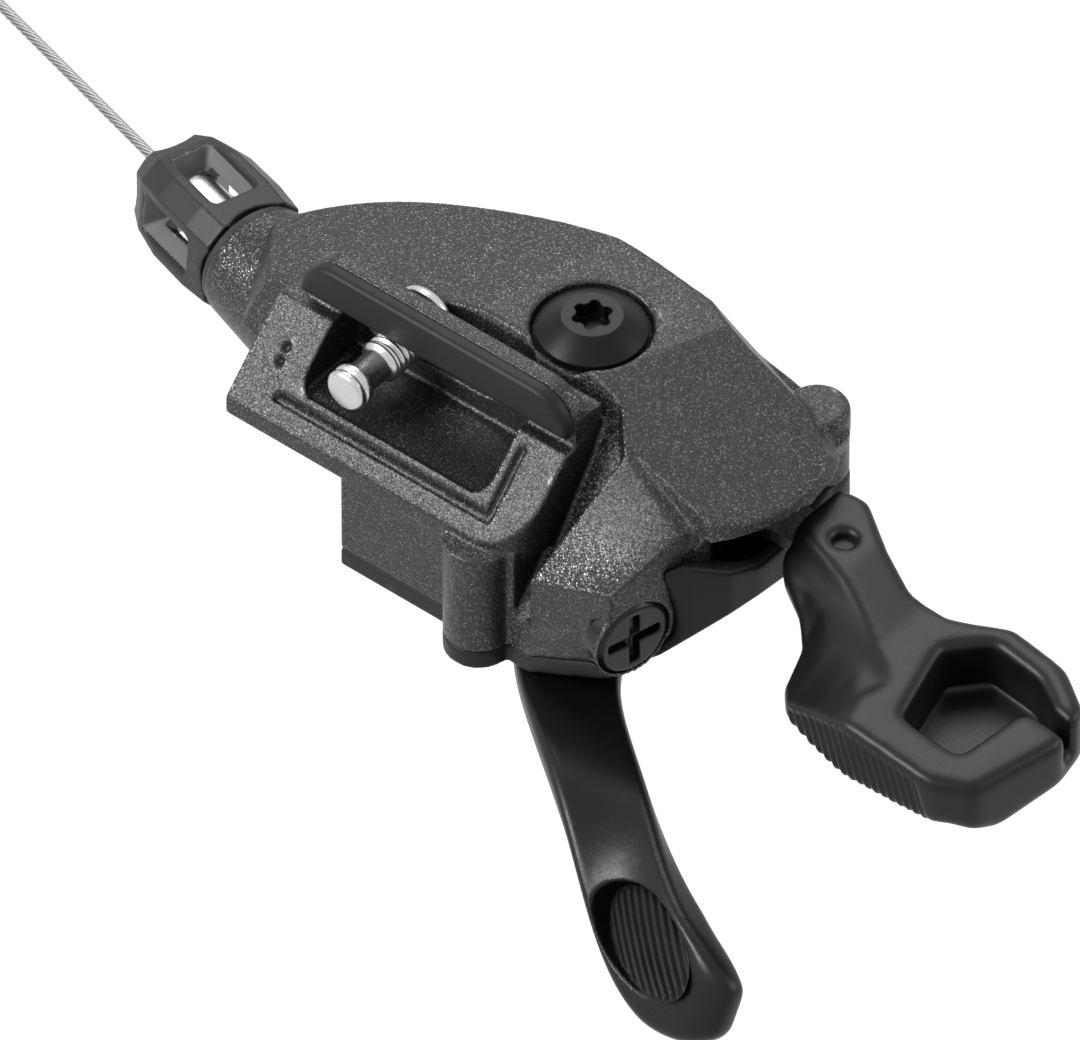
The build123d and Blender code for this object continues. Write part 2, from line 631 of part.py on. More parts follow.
    # Pivot bore and screw holes
    with BuildSketch(Plane.XY.offset(RIM_Z)):
        with Locations((PIVOT_X, PIVOT_Y)):
            Circle(PIVOT_D / 2)
    extrude(amount=PIVOT_SET, mode=Mode.SUBTRACT)
    with BuildSketch(Plane.XY.offset(FLOOR_Z)):
        with Locations(*screw_places):
            Circle(SCREW_D / 2)
    extrude(amount=SCREW_L, mode=Mode.SUBTRACT)
save(upper_case, "upper_case")

# Lower cover: floor of the case and the bowl on the lever side
with BuildPart() as lower_cover:
    add(skirt_plan.sketch.moved(Location((0, 0, COVER_BOTTOM))))
    extrude(amount=FLOOR_Z - COVER_BOTTOM)
    with BuildSketch(Plane.XY.offset(COVER_BOTTOM)):
        with BuildLine():
            Polyline((CASE_SPLIT_X, BOWL_ROOM_FRONT), *BOWL_PLAN, (CASE_SPLIT_X, LUG_Y), close=True)
        make_face()
        with Locations((LUG_X, LUG_Y)):
            Circle(LUG_R)
    extrude(amount=SLOT_BOTTOM - COVER_BOTTOM)
    split(bisect_by=bowl_face, keep=Keep.TOP)
    add(shoulder_floor.part)
    add(skirt_plan.sketch.moved(Location((0, 0, FLOOR_Z))))
    extrude(amount=SLOT_BOTTOM - FLOOR_Z, mode=Mode.SUBTRACT)
    add(shoulder_form.part, mode=Mode.SUBTRACT)
    with BuildSketch(cable.offset(-PLUG_FACE - PLUG_T)):
        Circle(PLUG_BOSS_R)
    extrude(amount=PLUG_FACE, mode=Mode.SUBTRACT)
    with BuildSketch(level(COVER_BOTTOM)):
        Circle(HUB_BOSS_R + SLIDE_GAP)
    extrude(amount=FLOOR_Z - COVER_BOTTOM, mode=Mode.SUBTRACT)
    with BuildSketch(level(COVER_BOTTOM)):
        Circle(SPRING_R + SPRING_WIRE)
        Circle(HUB_BOSS_R + SLIDE_GAP, mode=Mode.SUBTRACT)
    extrude(amount=2 * SPRING_WIRE, mode=Mode.SUBTRACT)
    with BuildSketch(Plane.XY.offset(SLOT_BOTTOM)):
        with BuildLine():
            Polyline(
                (CASE_SPLIT_X, BOWL_ROOM_FRONT), *BOWL_ROOM, (CASE_SPLIT_X, BOWL_ROOM[-1][1]), close=True
            )
        make_face()
    extrude(amount=-BOWL_DEPTH, mode=Mode.SUBTRACT)
    with BuildSketch(Plane.XY.offset(COVER_BOTTOM)):
        with Locations(*screw_places):
            Circle(SCREW_D / 2 + RUN_FIT)
    extrude(amount=SLOT_BOTTOM - COVER_BOTTOM, mode=Mode.SUBTRACT)
    with BuildSketch(Plane.XY.offset(COVER_BOTTOM)):
        with Locations(*screw_places):
            Circle(SCREW_HEAD_D / 2 + RUN_FIT)
    extrude(amount=SCREW_HEAD_T, mode=Mode.SUBTRACT)
save(lower_cover, "lower_cover")

# Screws that hold the lower cover
with BuildPart() as cover_screws:
    with BuildSketch(Plane.XY.offset(COVER_BOTTOM)):
        with Locations(*screw_places):
            Circle(SCREW_HEAD_D / 2)
    extrude(amount=SCREW_HEAD_T)
    with BuildSketch(Plane.XY.offset(COVER_BOTTOM + SCREW_HEAD_T)):
        with Locations(*screw_places):
            Circle(SCREW_D / 2 - RUN_FIT)
    extrude(amount=SCREW_L)
    with BuildSketch(Plane.XY.offset(COVER_BOTTOM)):
        with Locations(*screw_places):
            Rectangle(SCREW_HEAD_D * 0.6, 0.7)
            Rectangle(0.7, SCREW_HEAD_D * 0.6)
    extrude(amount=SCREW_HEAD_T * 0.6, mode=Mode.SUBTRACT)
save(cover_screws, "cover_screws")

# Rounded front layer of the rail
with BuildPart() as rail_cap:
    with BuildSketch(stud.offset(RAIL_FRONT)):
        with Locations(((RAIL_LEFT + RAIL_RIGHT) / 2, -(RAIL_TOP + RAIL_BOTTOM) / 2)):
            Rectangle(RAIL_RIGHT - RAIL_LEFT, RAIL_TOP - RAIL_BOTTOM)
        fillet(vertices().group_by(Axis.Y)[0], RAIL_CORNER_R)
    extrude(amount=RAIL_SEAM - RAIL_FRONT)
    fillet(rail_cap.faces().sort_by(Axis.Y)[0].edges(), RAIL_EDGE_R)
save(rail_cap, "rail_cap")

# Cap screw on the main axle, domed, with a six-pointed recess
with BuildPart() as axle_cap_screw:
    with BuildSketch(axle_half):
        with BuildLine():
            Polyline(
                (0, CAP_SEAT_Z + CAP_H), (CAP_CROWN_R, CAP_SEAT_Z + CAP_H),
            )
            ThreePointArc(
                (CAP_CROWN_R, CAP_SEAT_Z + CAP_H),
                (0.82 * CAP_D / 2, CAP_SEAT_Z + 0.62 * CAP_H),
                (CAP_D / 2, CAP_SEAT_Z + CAP_RIM),
            )
            Polyline(
                (CAP_D / 2, CAP_SEAT_Z + CAP_RIM), (CAP_D / 2, CAP_SEAT_Z),
                (CAP_SHANK_D / 2, CAP_SEAT_Z), (CAP_SHANK_D / 2, AXLE_TOP - CAP_THREAD_L),
                (0, AXLE_TOP - CAP_THREAD_L), (0, CAP_SEAT_Z + CAP_H),
            )
        make_face()
    revolve(axis=axle_line)
    with BuildSketch(level(CAP_SEAT_Z + CAP_H)):
        Circle(STAR_R * 0.78)
        with PolarLocations(STAR_R * 0.72, 6):
            Circle(STAR_R * 0.28)
    extrude(amount=-STAR_DEPTH, mode=Mode.SUBTRACT)
save(axle_cap_screw, "axle_cap_screw")

# Plug over the hole that the cable is threaded through
with BuildPart() as cable_hole_plug:
    with BuildSketch(cable.offset(-PLUG_FACE)):
        Circle(PLUG_D / 2)
    extrude(amount=PLUG_T)
    chamfer(cable_hole_plug.faces().sort_by(Axis(tangent, cable_out))[0].edges(), 0.5)
    with BuildSketch(cable.offset(-PLUG_FACE)):
        Rectangle(PLUG_D * 0.72, PLUG_SLOT_W)
        Rectangle(PLUG_SLOT_W, PLUG_D * 0.72)
    extrude(amount=PLUG_SLOT_DEPTH, mode=Mode.SUBTRACT)
save(cable_hole_plug, "cable_hole_plug")

# Main axle with its nut and washer
with BuildPart() as main_axle:
    with BuildSketch(level(AXLE_BOTTOM)):
        Circle(AXLE_D / 2)
    extrude(amount=AXLE_TOP - AXLE_BOTTOM)
    with BuildSketch(level(AXLE_TOP)):
        Circle(CAP_SHANK_D / 2)
    extrude(amount=-CAP_THREAD_L, mode=Mode.SUBTRACT)
save(main_axle, "main_axle")

with BuildPart() as axle_washer:
    with BuildSketch(level(LEVER_BOTTOM - WASHER_T - RUN_FIT)):
        Circle(WASHER_R)
        Circle(AXLE_D / 2 + RUN_FIT, mode=Mode.SUBTRACT)
    extrude(amount=WASHER_T)
save(axle_washer, "axle_washer")

with BuildPart() as axle_nut:
    with BuildSketch(level(NUT_TOP - NUT_H)):
        RegularPolygon(NUT_AF / 2, 6, major_radius=False)
        Circle(AXLE_D / 2, mode=Mode.SUBTRACT)
    extrude(amount=NUT_H)
save(axle_nut, "axle_nut")

# Steel plate under the ceiling, with an ear for the holding pawl's pin
with BuildPart() as base_plate:
    with BuildSketch(level(CEILING_Z - PLATE_T)):
        Circle(BASE_R)
        Circle(AXLE_D / 2, mode=Mode.SUBTRACT)
    extrude(amount=PLATE_T)
    with BuildSketch(Plane.XY.offset(CEILING_Z - PLATE_T)):
        with BuildLine():
            Polyline(
                axle_point(BASE_R * 0.9, 5), (HOLD_PIVOT_X + PAWL_EYE_R, HOLD_PIVOT_Y + PAWL_EYE_R),
                (HOLD_PIVOT_X + PAWL_EYE_R, HOLD_PIVOT_Y - PAWL_EYE_R), axle_point(BASE_R * 0.9, -22),
                close=True,
            )
        make_face()
        with Locations((HOLD_PIVOT_X, HOLD_PIVOT_Y)):
            Circle(PAWL_PIN_D / 2, mode=Mode.SUBTRACT)
    extrude(amount=PLATE_T)
save(base_plate, "base_plate")

# Winding drum with its cable groove, nipple pocket and lightening holes
with BuildPart() as winding_drum:
    with BuildSketch(axle_half):
        with BuildLine():
            Polyline(
                (BUSH_R, DRUM_BOTTOM), (DRUM_R, DRUM_BOTTOM), (DRUM_R, CABLE_Z - GROOVE_W),
                (WRAP_R - CABLE_D / 2 - RUN_FIT, CABLE_Z - GROOVE_W / 2),
                (WRAP_R - CABLE_D / 2 - RUN_FIT, CABLE_Z + GROOVE_W / 2),
                (DRUM_R, CABLE_Z + GROOVE_W), (DRUM_R, DRUM_TOP), (DRUM_HUB_R, DRUM_TOP),
                (DRUM_HUB_R, HUB_TOP), (BUSH_R, HUB_TOP), close=True,
            )
        make_face()
    revolve(axis=axle_line)
    with BuildSketch(level(DRUM_BOTTOM)):
        with PolarLocations(DRUM_HOLE_PITCH_R, 6):
            Circle(DRUM_HOLE_R)
    extrude(amount=DRUM_TOP - DRUM_BOTTOM, mode=Mode.SUBTRACT)
    with BuildSketch(nipple_plane.offset(-NIPPLE_L / 2 - RUN_FIT)):
        Circle(NIPPLE_D / 2 + RUN_FIT)
    extrude(amount=NIPPLE_L + 2 * RUN_FIT, mode=Mode.SUBTRACT)
save(winding_drum, "winding_drum")

with BuildPart() as drum_bush:
    with BuildSketch(level(DRUM_BOTTOM)):
        Circle(BUSH_R)
        Circle(AXLE_D / 2 + RUN_FIT, mode=Mode.SUBTRACT)
    extrude(amount=HUB_TOP - DRUM_BOTTOM)
save(drum_bush, "drum_bush")


def saw_teeth(tip_r, root_r, teeth, peak):
    """Corners of a saw-toothed wheel; peak is how far through each step the tip stands."""
    step = 360 / teeth
    corners = []
    for tooth in range(teeth):
        for radius, angle in ((root_r, tooth * step), (tip_r, (tooth + peak) * step)):
            corners.append((radius * cos(radians(angle)), radius * sin(radians(angle))))
    return corners


# Toothed wheels below and above the drum
with BuildPart() as winding_ratchet:
    with BuildSketch(level(DRUM_BOTTOM - RATCHET_T)):
        with BuildLine():
            Polyline(*saw_teeth(WIND_TIP_R, WIND_ROOT_R, WIND_TEETH, 0.15), close=True)
        make_face()
        Circle(BUSH_R, mode=Mode.SUBTRACT)
    extrude(amount=RATCHET_T)
save(winding_ratchet, "winding_ratchet")

with BuildPart() as hold_ratchet:
    with BuildSketch(level(DRUM_TOP)):
        with BuildLine():
            Polyline(*saw_teeth(HOLD_TIP_R, HOLD_ROOT_R, HOLD_TEETH, 0.85), close=True)
        make_face()
        Circle(HOLD_BORE_R, mode=Mode.SUBTRACT)
    extrude(amount=RATCHET_T)
save(hold_ratchet, "hold_ratchet")

# Cable on the drum, its soldered nipple, the straight run, the tail outside and its crimped end
with BuildPart() as cable_wrap:
    with BuildSketch(wrap_plane):
        with Locations((WRAP_R, CABLE_Z)):
            Circle(CABLE_D / 2)
    revolve(axis=axle_line, revolution_arc=WRAP_END - WRAP_START)
save(cable_wrap, "cable_wrap")

with BuildPart() as cable_nipple:
    with BuildSketch(nipple_plane.offset(-NIPPLE_L / 2)):
        Circle(NIPPLE_D / 2)
    extrude(amount=NIPPLE_L)
save(cable_nipple, "cable_nipple")

with BuildPart() as inner_cable:
    with BuildSketch(cable):
        Circle(CABLE_D / 2)
    extrude(amount=BARREL_END)
save(inner_cable, "inner_cable")

with BuildPart() as cable_tail:
    with BuildSketch(cable.offset(BARREL_END)):
        Circle(CABLE_D / 2)
    extrude(amount=CABLE_END - BARREL_END)
save(cable_tail, "cable_tail")

with BuildPart() as cable_end_cap:
    with BuildSketch(cable.offset(CABLE_END - END_CAP_L + END_CAP_TIP)):
        Circle(END_CAP_D / 2)
        Circle(CABLE_D / 2, mode=Mode.SUBTRACT)
    extrude(amount=END_CAP_L - END_CAP_TIP)
    with BuildSketch(cable.offset(CABLE_END)):
        Circle(END_CAP_D / 2)
    extrude(amount=END_CAP_TIP)
    fillet(cable_end_cap.edges().sort_by(Axis(tangent, cable_out))[-1], 0.8)
save(cable_end_cap, "cable_end_cap")

# Barrel adjuster: seat in the inlet, click ring, hollow bolt and four-sided barrel
with BuildPart() as adjuster_seat:
    with BuildSketch(cable.offset(BOLT_START)):
        Circle(SEAT_R)
        Circle(BOLT_D / 2 + RUN_FIT, mode=Mode.SUBTRACT)
    extrude(amount=INLET_END - BOLT_START)
save(adjuster_seat, "adjuster_seat")

with BuildPart() as adjuster_ring:
    with BuildSketch(cable.offset(INLET_END)):
        Circle(INLET_MOUTH_R - SLIDE_GAP)
        Circle(BOLT_D / 2 + SLIDE_GAP, mode=Mode.SUBTRACT)
    extrude(amount=RING_T)
save(adjuster_ring, "adjuster_ring")

with BuildPart() as adjuster_bolt:
    with BuildSketch(cable.offset(BOLT_START + SLIDE_GAP)):
        Circle(BOLT_D / 2)
        Circle(CABLE_BORE / 2, mode=Mode.SUBTRACT)
    extrude(amount=BOLT_END - BOLT_START - SLIDE_GAP)
save(adjuster_bolt, "adjuster_bolt")

with BuildPart() as adjuster_barrel:
    for share, scale_by in BARREL_FORM:
        with BuildSketch(cable.offset(BARREL_START + share * BARREL_L)):
            Rectangle(BARREL_SIDE * scale_by, BARREL_SIDE * scale_by, rotation=BARREL_TURN)
            chamfer(vertices(), BARREL_CORNER)
    loft(ruled=True)
    with BuildSketch(cable.offset(BARREL_START)):
        Circle(BARREL_BORE_R)
    extrude(amount=BOLT_END - BARREL_START - RING_T, mode=Mode.SUBTRACT)
    with BuildSketch(cable.offset(BARREL_START)):
        Circle(BOLT_D / 2)
    extrude(amount=BOLT_END - BARREL_START, mode=Mode.SUBTRACT)
    with BuildSketch(cable.offset(BARREL_START)):
        Circle(CABLE_BORE / 2)
    extrude(amount=BARREL_L, mode=Mode.SUBTRACT)
    with BuildSketch(cable.offset(BARREL_END)):
        Circle(CASING_D / 2)
    extrude(amount=-CASING_DEPTH, mode=Mode.SUBTRACT)
    # One flared window in each side, and a hollow in the middle of each end's four edges
    for quarter in range(4):
        side_out = cable.x_dir.rotate(Axis((0, 0, 0), cable_out), BARREL_TURN + 90 * quarter)
        window = Plane(
            tangent + cable_out * WINDOW_MID + side_out * (BARREL_SIDE / 2 + WINDOW_STAND),
            x_dir=cable_out,
            z_dir=-side_out,
        )
        with BuildSketch(window):
            RectangleRounded(WINDOW_L + WINDOW_STAND, WINDOW_W, RING_T)
        extrude(amount=BARREL_SIDE / 2 + WINDOW_STAND - BOLT_D / 2, taper=WINDOW_FLARE, mode=Mode.SUBTRACT)
        for along in (BARREL_START + SCALLOP_DEPTH - SCALLOP_R, BARREL_END - SCALLOP_DEPTH + SCALLOP_R):
            with BuildSketch(Plane(tangent + cable_out * along, x_dir=cable_out, z_dir=side_out)):
                Circle(SCALLOP_R)
            extrude(amount=BARREL_SIDE, mode=Mode.SUBTRACT)
save(adjuster_barrel, "adjuster_barrel")

# Main lever: hub, flat arm and the paddle that it twists into
with BuildPart() as main_lever:
    for x, y, z, heading, roll, width, thick in LEVER_STATIONS:
        with BuildSketch(lever_plane(x, y, z, heading, roll)):
            RectangleRounded(width, thick, LEVER_EDGE_R)
    loft()
    with BuildSketch(Plane.XY.offset(LEVER_BOTTOM)):
        with BuildLine():
            Polyline(*arm_root, close=True)
        make_face()
        with Locations((AXLE_X, AXLE_Y)):
            Circle(HUB_R)
    extrude(amount=LEVER_T)
    with BuildSketch(level(LEVER_TOP)):
        Circle(HUB_BOSS_R)
    extrude(amount=CARRIER_TOP - LEVER_TOP)
    with BuildSketch(level(LEVER_BOTTOM)):
        Circle(HUB_BORE_R)
    extrude(amount=CARRIER_TOP - LEVER_BOTTOM, mode=Mode.SUBTRACT)
    with BuildSketch(grip_plane):
        Ellipse(GRIP_L / 2 + RUN_FIT, GRIP_W / 2 + RUN_FIT)
    extrude(amount=GRIP_T * 2, mode=Mode.SUBTRACT)
save(main_lever, "main_lever")

with BuildPart() as lever_grip:
    with BuildSketch(grip_plane):
        Ellipse(GRIP_L / 2, GRIP_W / 2)
    extrude(amount=GRIP_T)
    with BuildSketch(grip_plane.offset(GRIP_T)):
        with GridLocations(GRIP_L / GRIP_RIBS, 0, GRIP_RIBS, 1):
            Rectangle(GRIP_L / GRIP_RIBS * 0.45, GRIP_W)
    extrude(amount=-GRIP_T * 0.4, mode=Mode.SUBTRACT)
save(lever_grip, "lever_grip")

with BuildPart() as lever_bush:
    with BuildSketch(level(LEVER_BOTTOM)):
        Circle(HUB_BORE_R)
        Circle(AXLE_D / 2 + RUN_FIT, mode=Mode.SUBTRACT)
    extrude(amount=CARRIER_TOP - LEVER_BOTTOM)
save(lever_bush, "lever_bush")

# Plate on the lever's hub, its pawl and the pawl's pin
with BuildPart() as pawl_carrier:
    with BuildSketch(level(CARRIER_TOP - CARRIER_T)):
        Circle(HUB_BOSS_R + 2)
        with Locations(wind_pivot):
            Circle(CARRIER_EYE_R)
        with BuildLine():
            Polyline(
                (0, HUB_BOSS_R), (wind_pivot[0], wind_pivot[1] + CARRIER_EYE_R),
                (wind_pivot[0], wind_pivot[1] - CARRIER_EYE_R), (0, -HUB_BOSS_R), close=True,
            )
        make_face()
        Circle(HUB_BOSS_R, mode=Mode.SUBTRACT)
        with Locations(wind_pivot):
            Circle(PAWL_PIN_D / 2, mode=Mode.SUBTRACT)
    extrude(amount=CARRIER_T)
save(pawl_carrier, "pawl_carrier")

with BuildPart() as winding_pawl:
    with BuildSketch(level(DRUM_BOTTOM - RATCHET_T)):
        with Locations(wind_pivot):
            Circle(WIND_EYE_R)
        with BuildLine():
            Polyline(
                (wind_pivot[0] - 1.4, wind_pivot[1]), (wind_tip[0] - 1.0, wind_tip[1] + 0.6),
                wind_tip, (wind_pivot[0] + 0.2, wind_pivot[1] + 1.8), close=True,
            )
        make_face()
        with Locations(wind_pivot):
            Circle(PAWL_PIN_D / 2, mode=Mode.SUBTRACT)
    extrude(amount=PAWL_T)
save(winding_pawl, "winding_pawl")

with BuildPart() as winding_pawl_pin:
    with BuildSketch(level(CARRIER_TOP - CARRIER_T)):
        with Locations(wind_pivot):
            Circle(PAWL_PIN_D / 2)
    extrude(amount=DRUM_BOTTOM - RATCHET_T + PAWL_T - CARRIER_TOP + CARRIER_T)
save(winding_pawl_pin, "winding_pawl_pin")

# Holding pawl, lifted off the wheel by the release lever, and its pin
with BuildPart() as hold_pawl:
    with BuildSketch(Plane.XY.offset(HOLD_Z)):
        with Locations((HOLD_PIVOT_X, HOLD_PIVOT_Y)):
            Circle(PAWL_EYE_R)
        with BuildLine():
            Polyline(
                (HOLD_PIVOT_X + 1.6, HOLD_PIVOT_Y + 1.2), (hold_tip[0] + 2.4, hold_tip[1] + 1.2),
                (hold_tip[0] + 0.4, hold_tip[1] + 1.6), hold_tip, (HOLD_PIVOT_X - 1.6, HOLD_PIVOT_Y + 1.2),
                close=True,
            )
        make_face()
        with Locations((HOLD_PIVOT_X, HOLD_PIVOT_Y)):
            Circle(PAWL_PIN_D / 2 + RUN_FIT, mode=Mode.SUBTRACT)
    extrude(amount=PAWL_T)
save(hold_pawl, "hold_pawl")

with BuildPart() as hold_pawl_pin:
    with BuildSketch(Plane.XY.offset(HOLD_Z)):
        with Locations((HOLD_PIVOT_X, HOLD_PIVOT_Y)):
            Circle(PAWL_PIN_D / 2)
    extrude(amount=CEILING_Z - HOLD_Z)
save(hold_pawl_pin, "hold_pawl_pin")

# Release lever: steel plate, pivot, moulded pad and the pin between them
with BuildPart() as release_plate:
    with BuildSketch(Plane.XY.offset(RELEASE_TOP - RELEASE_T)):
        with Locations(((PIVOT_X + RELEASE_REACH) / 2, PIVOT_Y)):
            SlotCenterToCenter(RELEASE_REACH - PIVOT_X, RELEASE_W)
        with Locations((PIVOT_X, PIVOT_Y)):
            Circle(PIVOT_D / 2 + RUN_FIT, mode=Mode.SUBTRACT)
        with Locations((PAD_PIN_X, PAD_PIN_Y)):
            Circle(PAD_PIN_D / 2, mode=Mode.SUBTRACT)
    extrude(amount=RELEASE_T)
save(release_plate, "release_plate")

with BuildPart() as release_pivot_pin:
    with BuildSketch(Plane.XY.offset(RELEASE_TOP - RELEASE_T - SLIDE_GAP / 2)):
        with Locations((PIVOT_X, PIVOT_Y)):
            Circle(PIVOT_D / 2)
    extrude(amount=RIM_Z + PIVOT_SET - RELEASE_TOP + RELEASE_T + SLIDE_GAP / 2)
save(release_pivot_pin, "release_pivot_pin")

with BuildPart() as release_pad:
    with BuildSketch(Plane.XY.offset(PAD_BOTTOM)):
        with BuildLine():
            Polyline(*PAD_PLAN, close=True)
        make_face()
        fillet(vertices().sort_by(Axis.X)[2:], PAD_CORNER_R)
    extrude(amount=PAD_TOP - PAD_BOTTOM)
    with BuildSketch(Plane.XZ):
        with BuildLine():
            Polyline(*PAD_SIDE, close=True)
        make_face()
    extrude(amount=RELEASE_REACH, both=True, mode=Mode.INTERSECT)
    split(bisect_by=pad_under, keep=Keep.TOP)
    # Hollow that the thumb's side lies in
    with BuildSketch(Plane(Vector(*SCOOP_FROM) + Vector(0, 0, SCOOP_R), z_dir=scoop_run)):
        Circle(SCOOP_R)
    extrude(amount=scoop_run.length, both=True, mode=Mode.SUBTRACT)
    with BuildSketch(Plane.XY.offset(CUP_FLOOR)):
        with BuildLine():
            Polyline(*CUP_PLAN, close=True)
        make_face()
        fillet(vertices(), CUP_CORNER_R)
    extrude(amount=PAD_TOP - CUP_FLOOR, mode=Mode.SUBTRACT)
    with BuildSketch(Plane.XY.offset(NOTCH_FLOOR)):
        with BuildLine():
            Polyline(*NOTCH_PLAN, close=True)
        make_face()
    extrude(amount=PAD_TOP - NOTCH_FLOOR, mode=Mode.SUBTRACT)
    with BuildSketch(Plane.XY.offset(RELEASE_TOP - RELEASE_T)):
        with Locations(((PIVOT_X + RELEASE_REACH) / 2, PIVOT_Y)):
            SlotCenterToCenter(RELEASE_REACH - PIVOT_X, RELEASE_W + 2 * RUN_FIT)
    extrude(amount=RELEASE_T, mode=Mode.SUBTRACT)
    with BuildSketch(Plane.XY.offset(ROOT_BOTTOM)):
        with Locations((PAD_PIN_X, PAD_PIN_Y)):
            Circle(PAD_PIN_D / 2)
    extrude(amount=PAD_TOP - ROOT_BOTTOM, mode=Mode.SUBTRACT)
save(release_pad, "release_pad")

with BuildPart() as release_pad_pin:
    with BuildSketch(Plane.XY.offset(ROOT_BOTTOM)):
        with Locations((PAD_PIN_X, PAD_PIN_Y)):
            Circle(PAD_PIN_D / 2)
    extrude(amount=PAD_TOP - ROOT_BOTTOM - PAD_PIN_SINK)
save(release_pad_pin, "release_pad_pin")


# Springs that turn the drum, the main lever and the release lever back
springs = {
    "drum_spring": (
        level(DRUM_TOP + SPRING_WIRE / 2 + RUN_FIT), DRUM_SPRING_R, SPRING_WIRE, DRUM_SPRING_PITCH, 2
    ),
    "lever_spring": (
        level(COVER_BOTTOM + LEVER_SPRING_WIRE), SPRING_R, LEVER_SPRING_WIRE, LEVER_SPRING_WIRE, 0.95
    ),
    "release_spring": (
        Plane((PIVOT_X, PIVOT_Y, RELEASE_TOP + RELEASE_WIRE)), RELEASE_COIL_R, RELEASE_WIRE, 0.7, 2
    ),
}
for name, (plane, radius, wire, pitch, turns) in springs.items():
    with BuildPart() as spring:
        with BuildLine(plane) as coil:
            Helix(pitch, pitch * turns, radius)
        with BuildSketch(Plane(coil.line @ 0, z_dir=coil.line % 0)):
            Circle(wire / 2)
        sweep(is_frenet=True)
    save(spring, name)

# Mounting stud with its grooved tip, and the head that slides behind the wall
with BuildPart() as mount_stud:
    with BuildSketch(Plane.XY):
        with BuildLine():
            Polyline(
                (0, STUD_TIP), (STUD_D / 2 - 0.3, STUD_TIP), (STUD_D / 2, STUD_TIP + 0.3),
                (STUD_D / 2, STUD_TIP + 0.9), (STUD_D / 2 - 0.3, STUD_TIP + 1.0),
                (STUD_D / 2 - 0.3, STUD_TIP + 1.3), (STUD_D / 2, STUD_TIP + 1.4),
                (STUD_D / 2, STUD_TIP + 2.2), (STUD_NECK_D / 2, STUD_TIP + 2.4),
                (STUD_NECK_D / 2, STUD_COLLAR - 0.4), (STUD_D / 2, STUD_COLLAR),
                (STUD_D / 2, WALL_BACK + SLIDE_GAP / 2 + STUD_HEAD_T),
                (0, WALL_BACK + SLIDE_GAP / 2 + STUD_HEAD_T), close=True,
            )
        make_face()
    revolve(axis=Axis.Y)
save(mount_stud, "mount_stud")

with BuildPart() as stud_head:
    with BuildSketch(stud.offset(WALL_BACK + SLIDE_GAP / 2)):
        Circle(STUD_HEAD_D / 2)
        Circle(STUD_D / 2, mode=Mode.SUBTRACT)
    extrude(amount=STUD_HEAD_T)
save(stud_head, "stud_head")
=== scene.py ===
"""Dresses the trigger gear shifter: rounded mouldings, ribs, stranded cable, finishes and the studio."""
import json
import math

import bmesh
import bpy
import numpy as np
from bpy.props import FloatProperty, FloatVectorProperty, IntProperty, PointerProperty
from mathutils import Matrix, Vector

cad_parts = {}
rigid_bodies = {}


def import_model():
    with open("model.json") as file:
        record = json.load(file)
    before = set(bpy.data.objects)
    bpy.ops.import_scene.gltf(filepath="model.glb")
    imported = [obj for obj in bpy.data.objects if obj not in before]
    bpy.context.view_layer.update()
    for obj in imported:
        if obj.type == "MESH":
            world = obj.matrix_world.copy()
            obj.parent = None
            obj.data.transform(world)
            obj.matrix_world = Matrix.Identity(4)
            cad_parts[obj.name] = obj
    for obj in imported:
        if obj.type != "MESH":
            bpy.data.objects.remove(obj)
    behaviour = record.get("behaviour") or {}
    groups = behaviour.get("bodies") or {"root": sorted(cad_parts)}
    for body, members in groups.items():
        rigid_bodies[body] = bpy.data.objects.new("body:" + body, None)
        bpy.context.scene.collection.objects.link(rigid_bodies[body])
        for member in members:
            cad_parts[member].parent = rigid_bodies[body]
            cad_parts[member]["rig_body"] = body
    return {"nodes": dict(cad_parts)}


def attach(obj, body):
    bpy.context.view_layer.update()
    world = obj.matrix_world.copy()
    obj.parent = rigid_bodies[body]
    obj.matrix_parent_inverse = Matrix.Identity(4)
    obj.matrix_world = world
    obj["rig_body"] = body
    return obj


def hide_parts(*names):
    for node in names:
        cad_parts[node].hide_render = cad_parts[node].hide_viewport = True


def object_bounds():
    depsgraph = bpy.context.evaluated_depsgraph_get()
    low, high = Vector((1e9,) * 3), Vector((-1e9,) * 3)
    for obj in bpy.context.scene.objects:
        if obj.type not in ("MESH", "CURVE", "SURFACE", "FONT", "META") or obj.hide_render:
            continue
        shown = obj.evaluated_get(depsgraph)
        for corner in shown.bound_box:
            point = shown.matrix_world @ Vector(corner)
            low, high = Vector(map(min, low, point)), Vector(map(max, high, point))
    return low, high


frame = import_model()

bl_info = {
    "name": "Trigger shifter",
    "version": (1, 0, 0),
    "blender": (4, 5, 0),
    "location": "View3D > Sidebar > Shifter",
    "description": "Mouldings, cable, finishes and studio for a trigger gear shifter",
    "category": "Object",
}

CAD_BOX = [list(corner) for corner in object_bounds()]
MM = 0.001
# The view's size and the place of the stud's middle in it, in pixels
PIXELS_PER_MM = 9.3
VIEW_WIDTH, VIEW_HEIGHT = 1080, 1040
STUD_ACROSS, STUD_DOWN = 414.5, 333
# Where the cable leaves the adjuster, in millimetres, and which way
CABLE_EXIT = (-46.4443, 14.1267, -15.0)
CABLE_WAY = (-0.9636, 0.2672, 0.0)


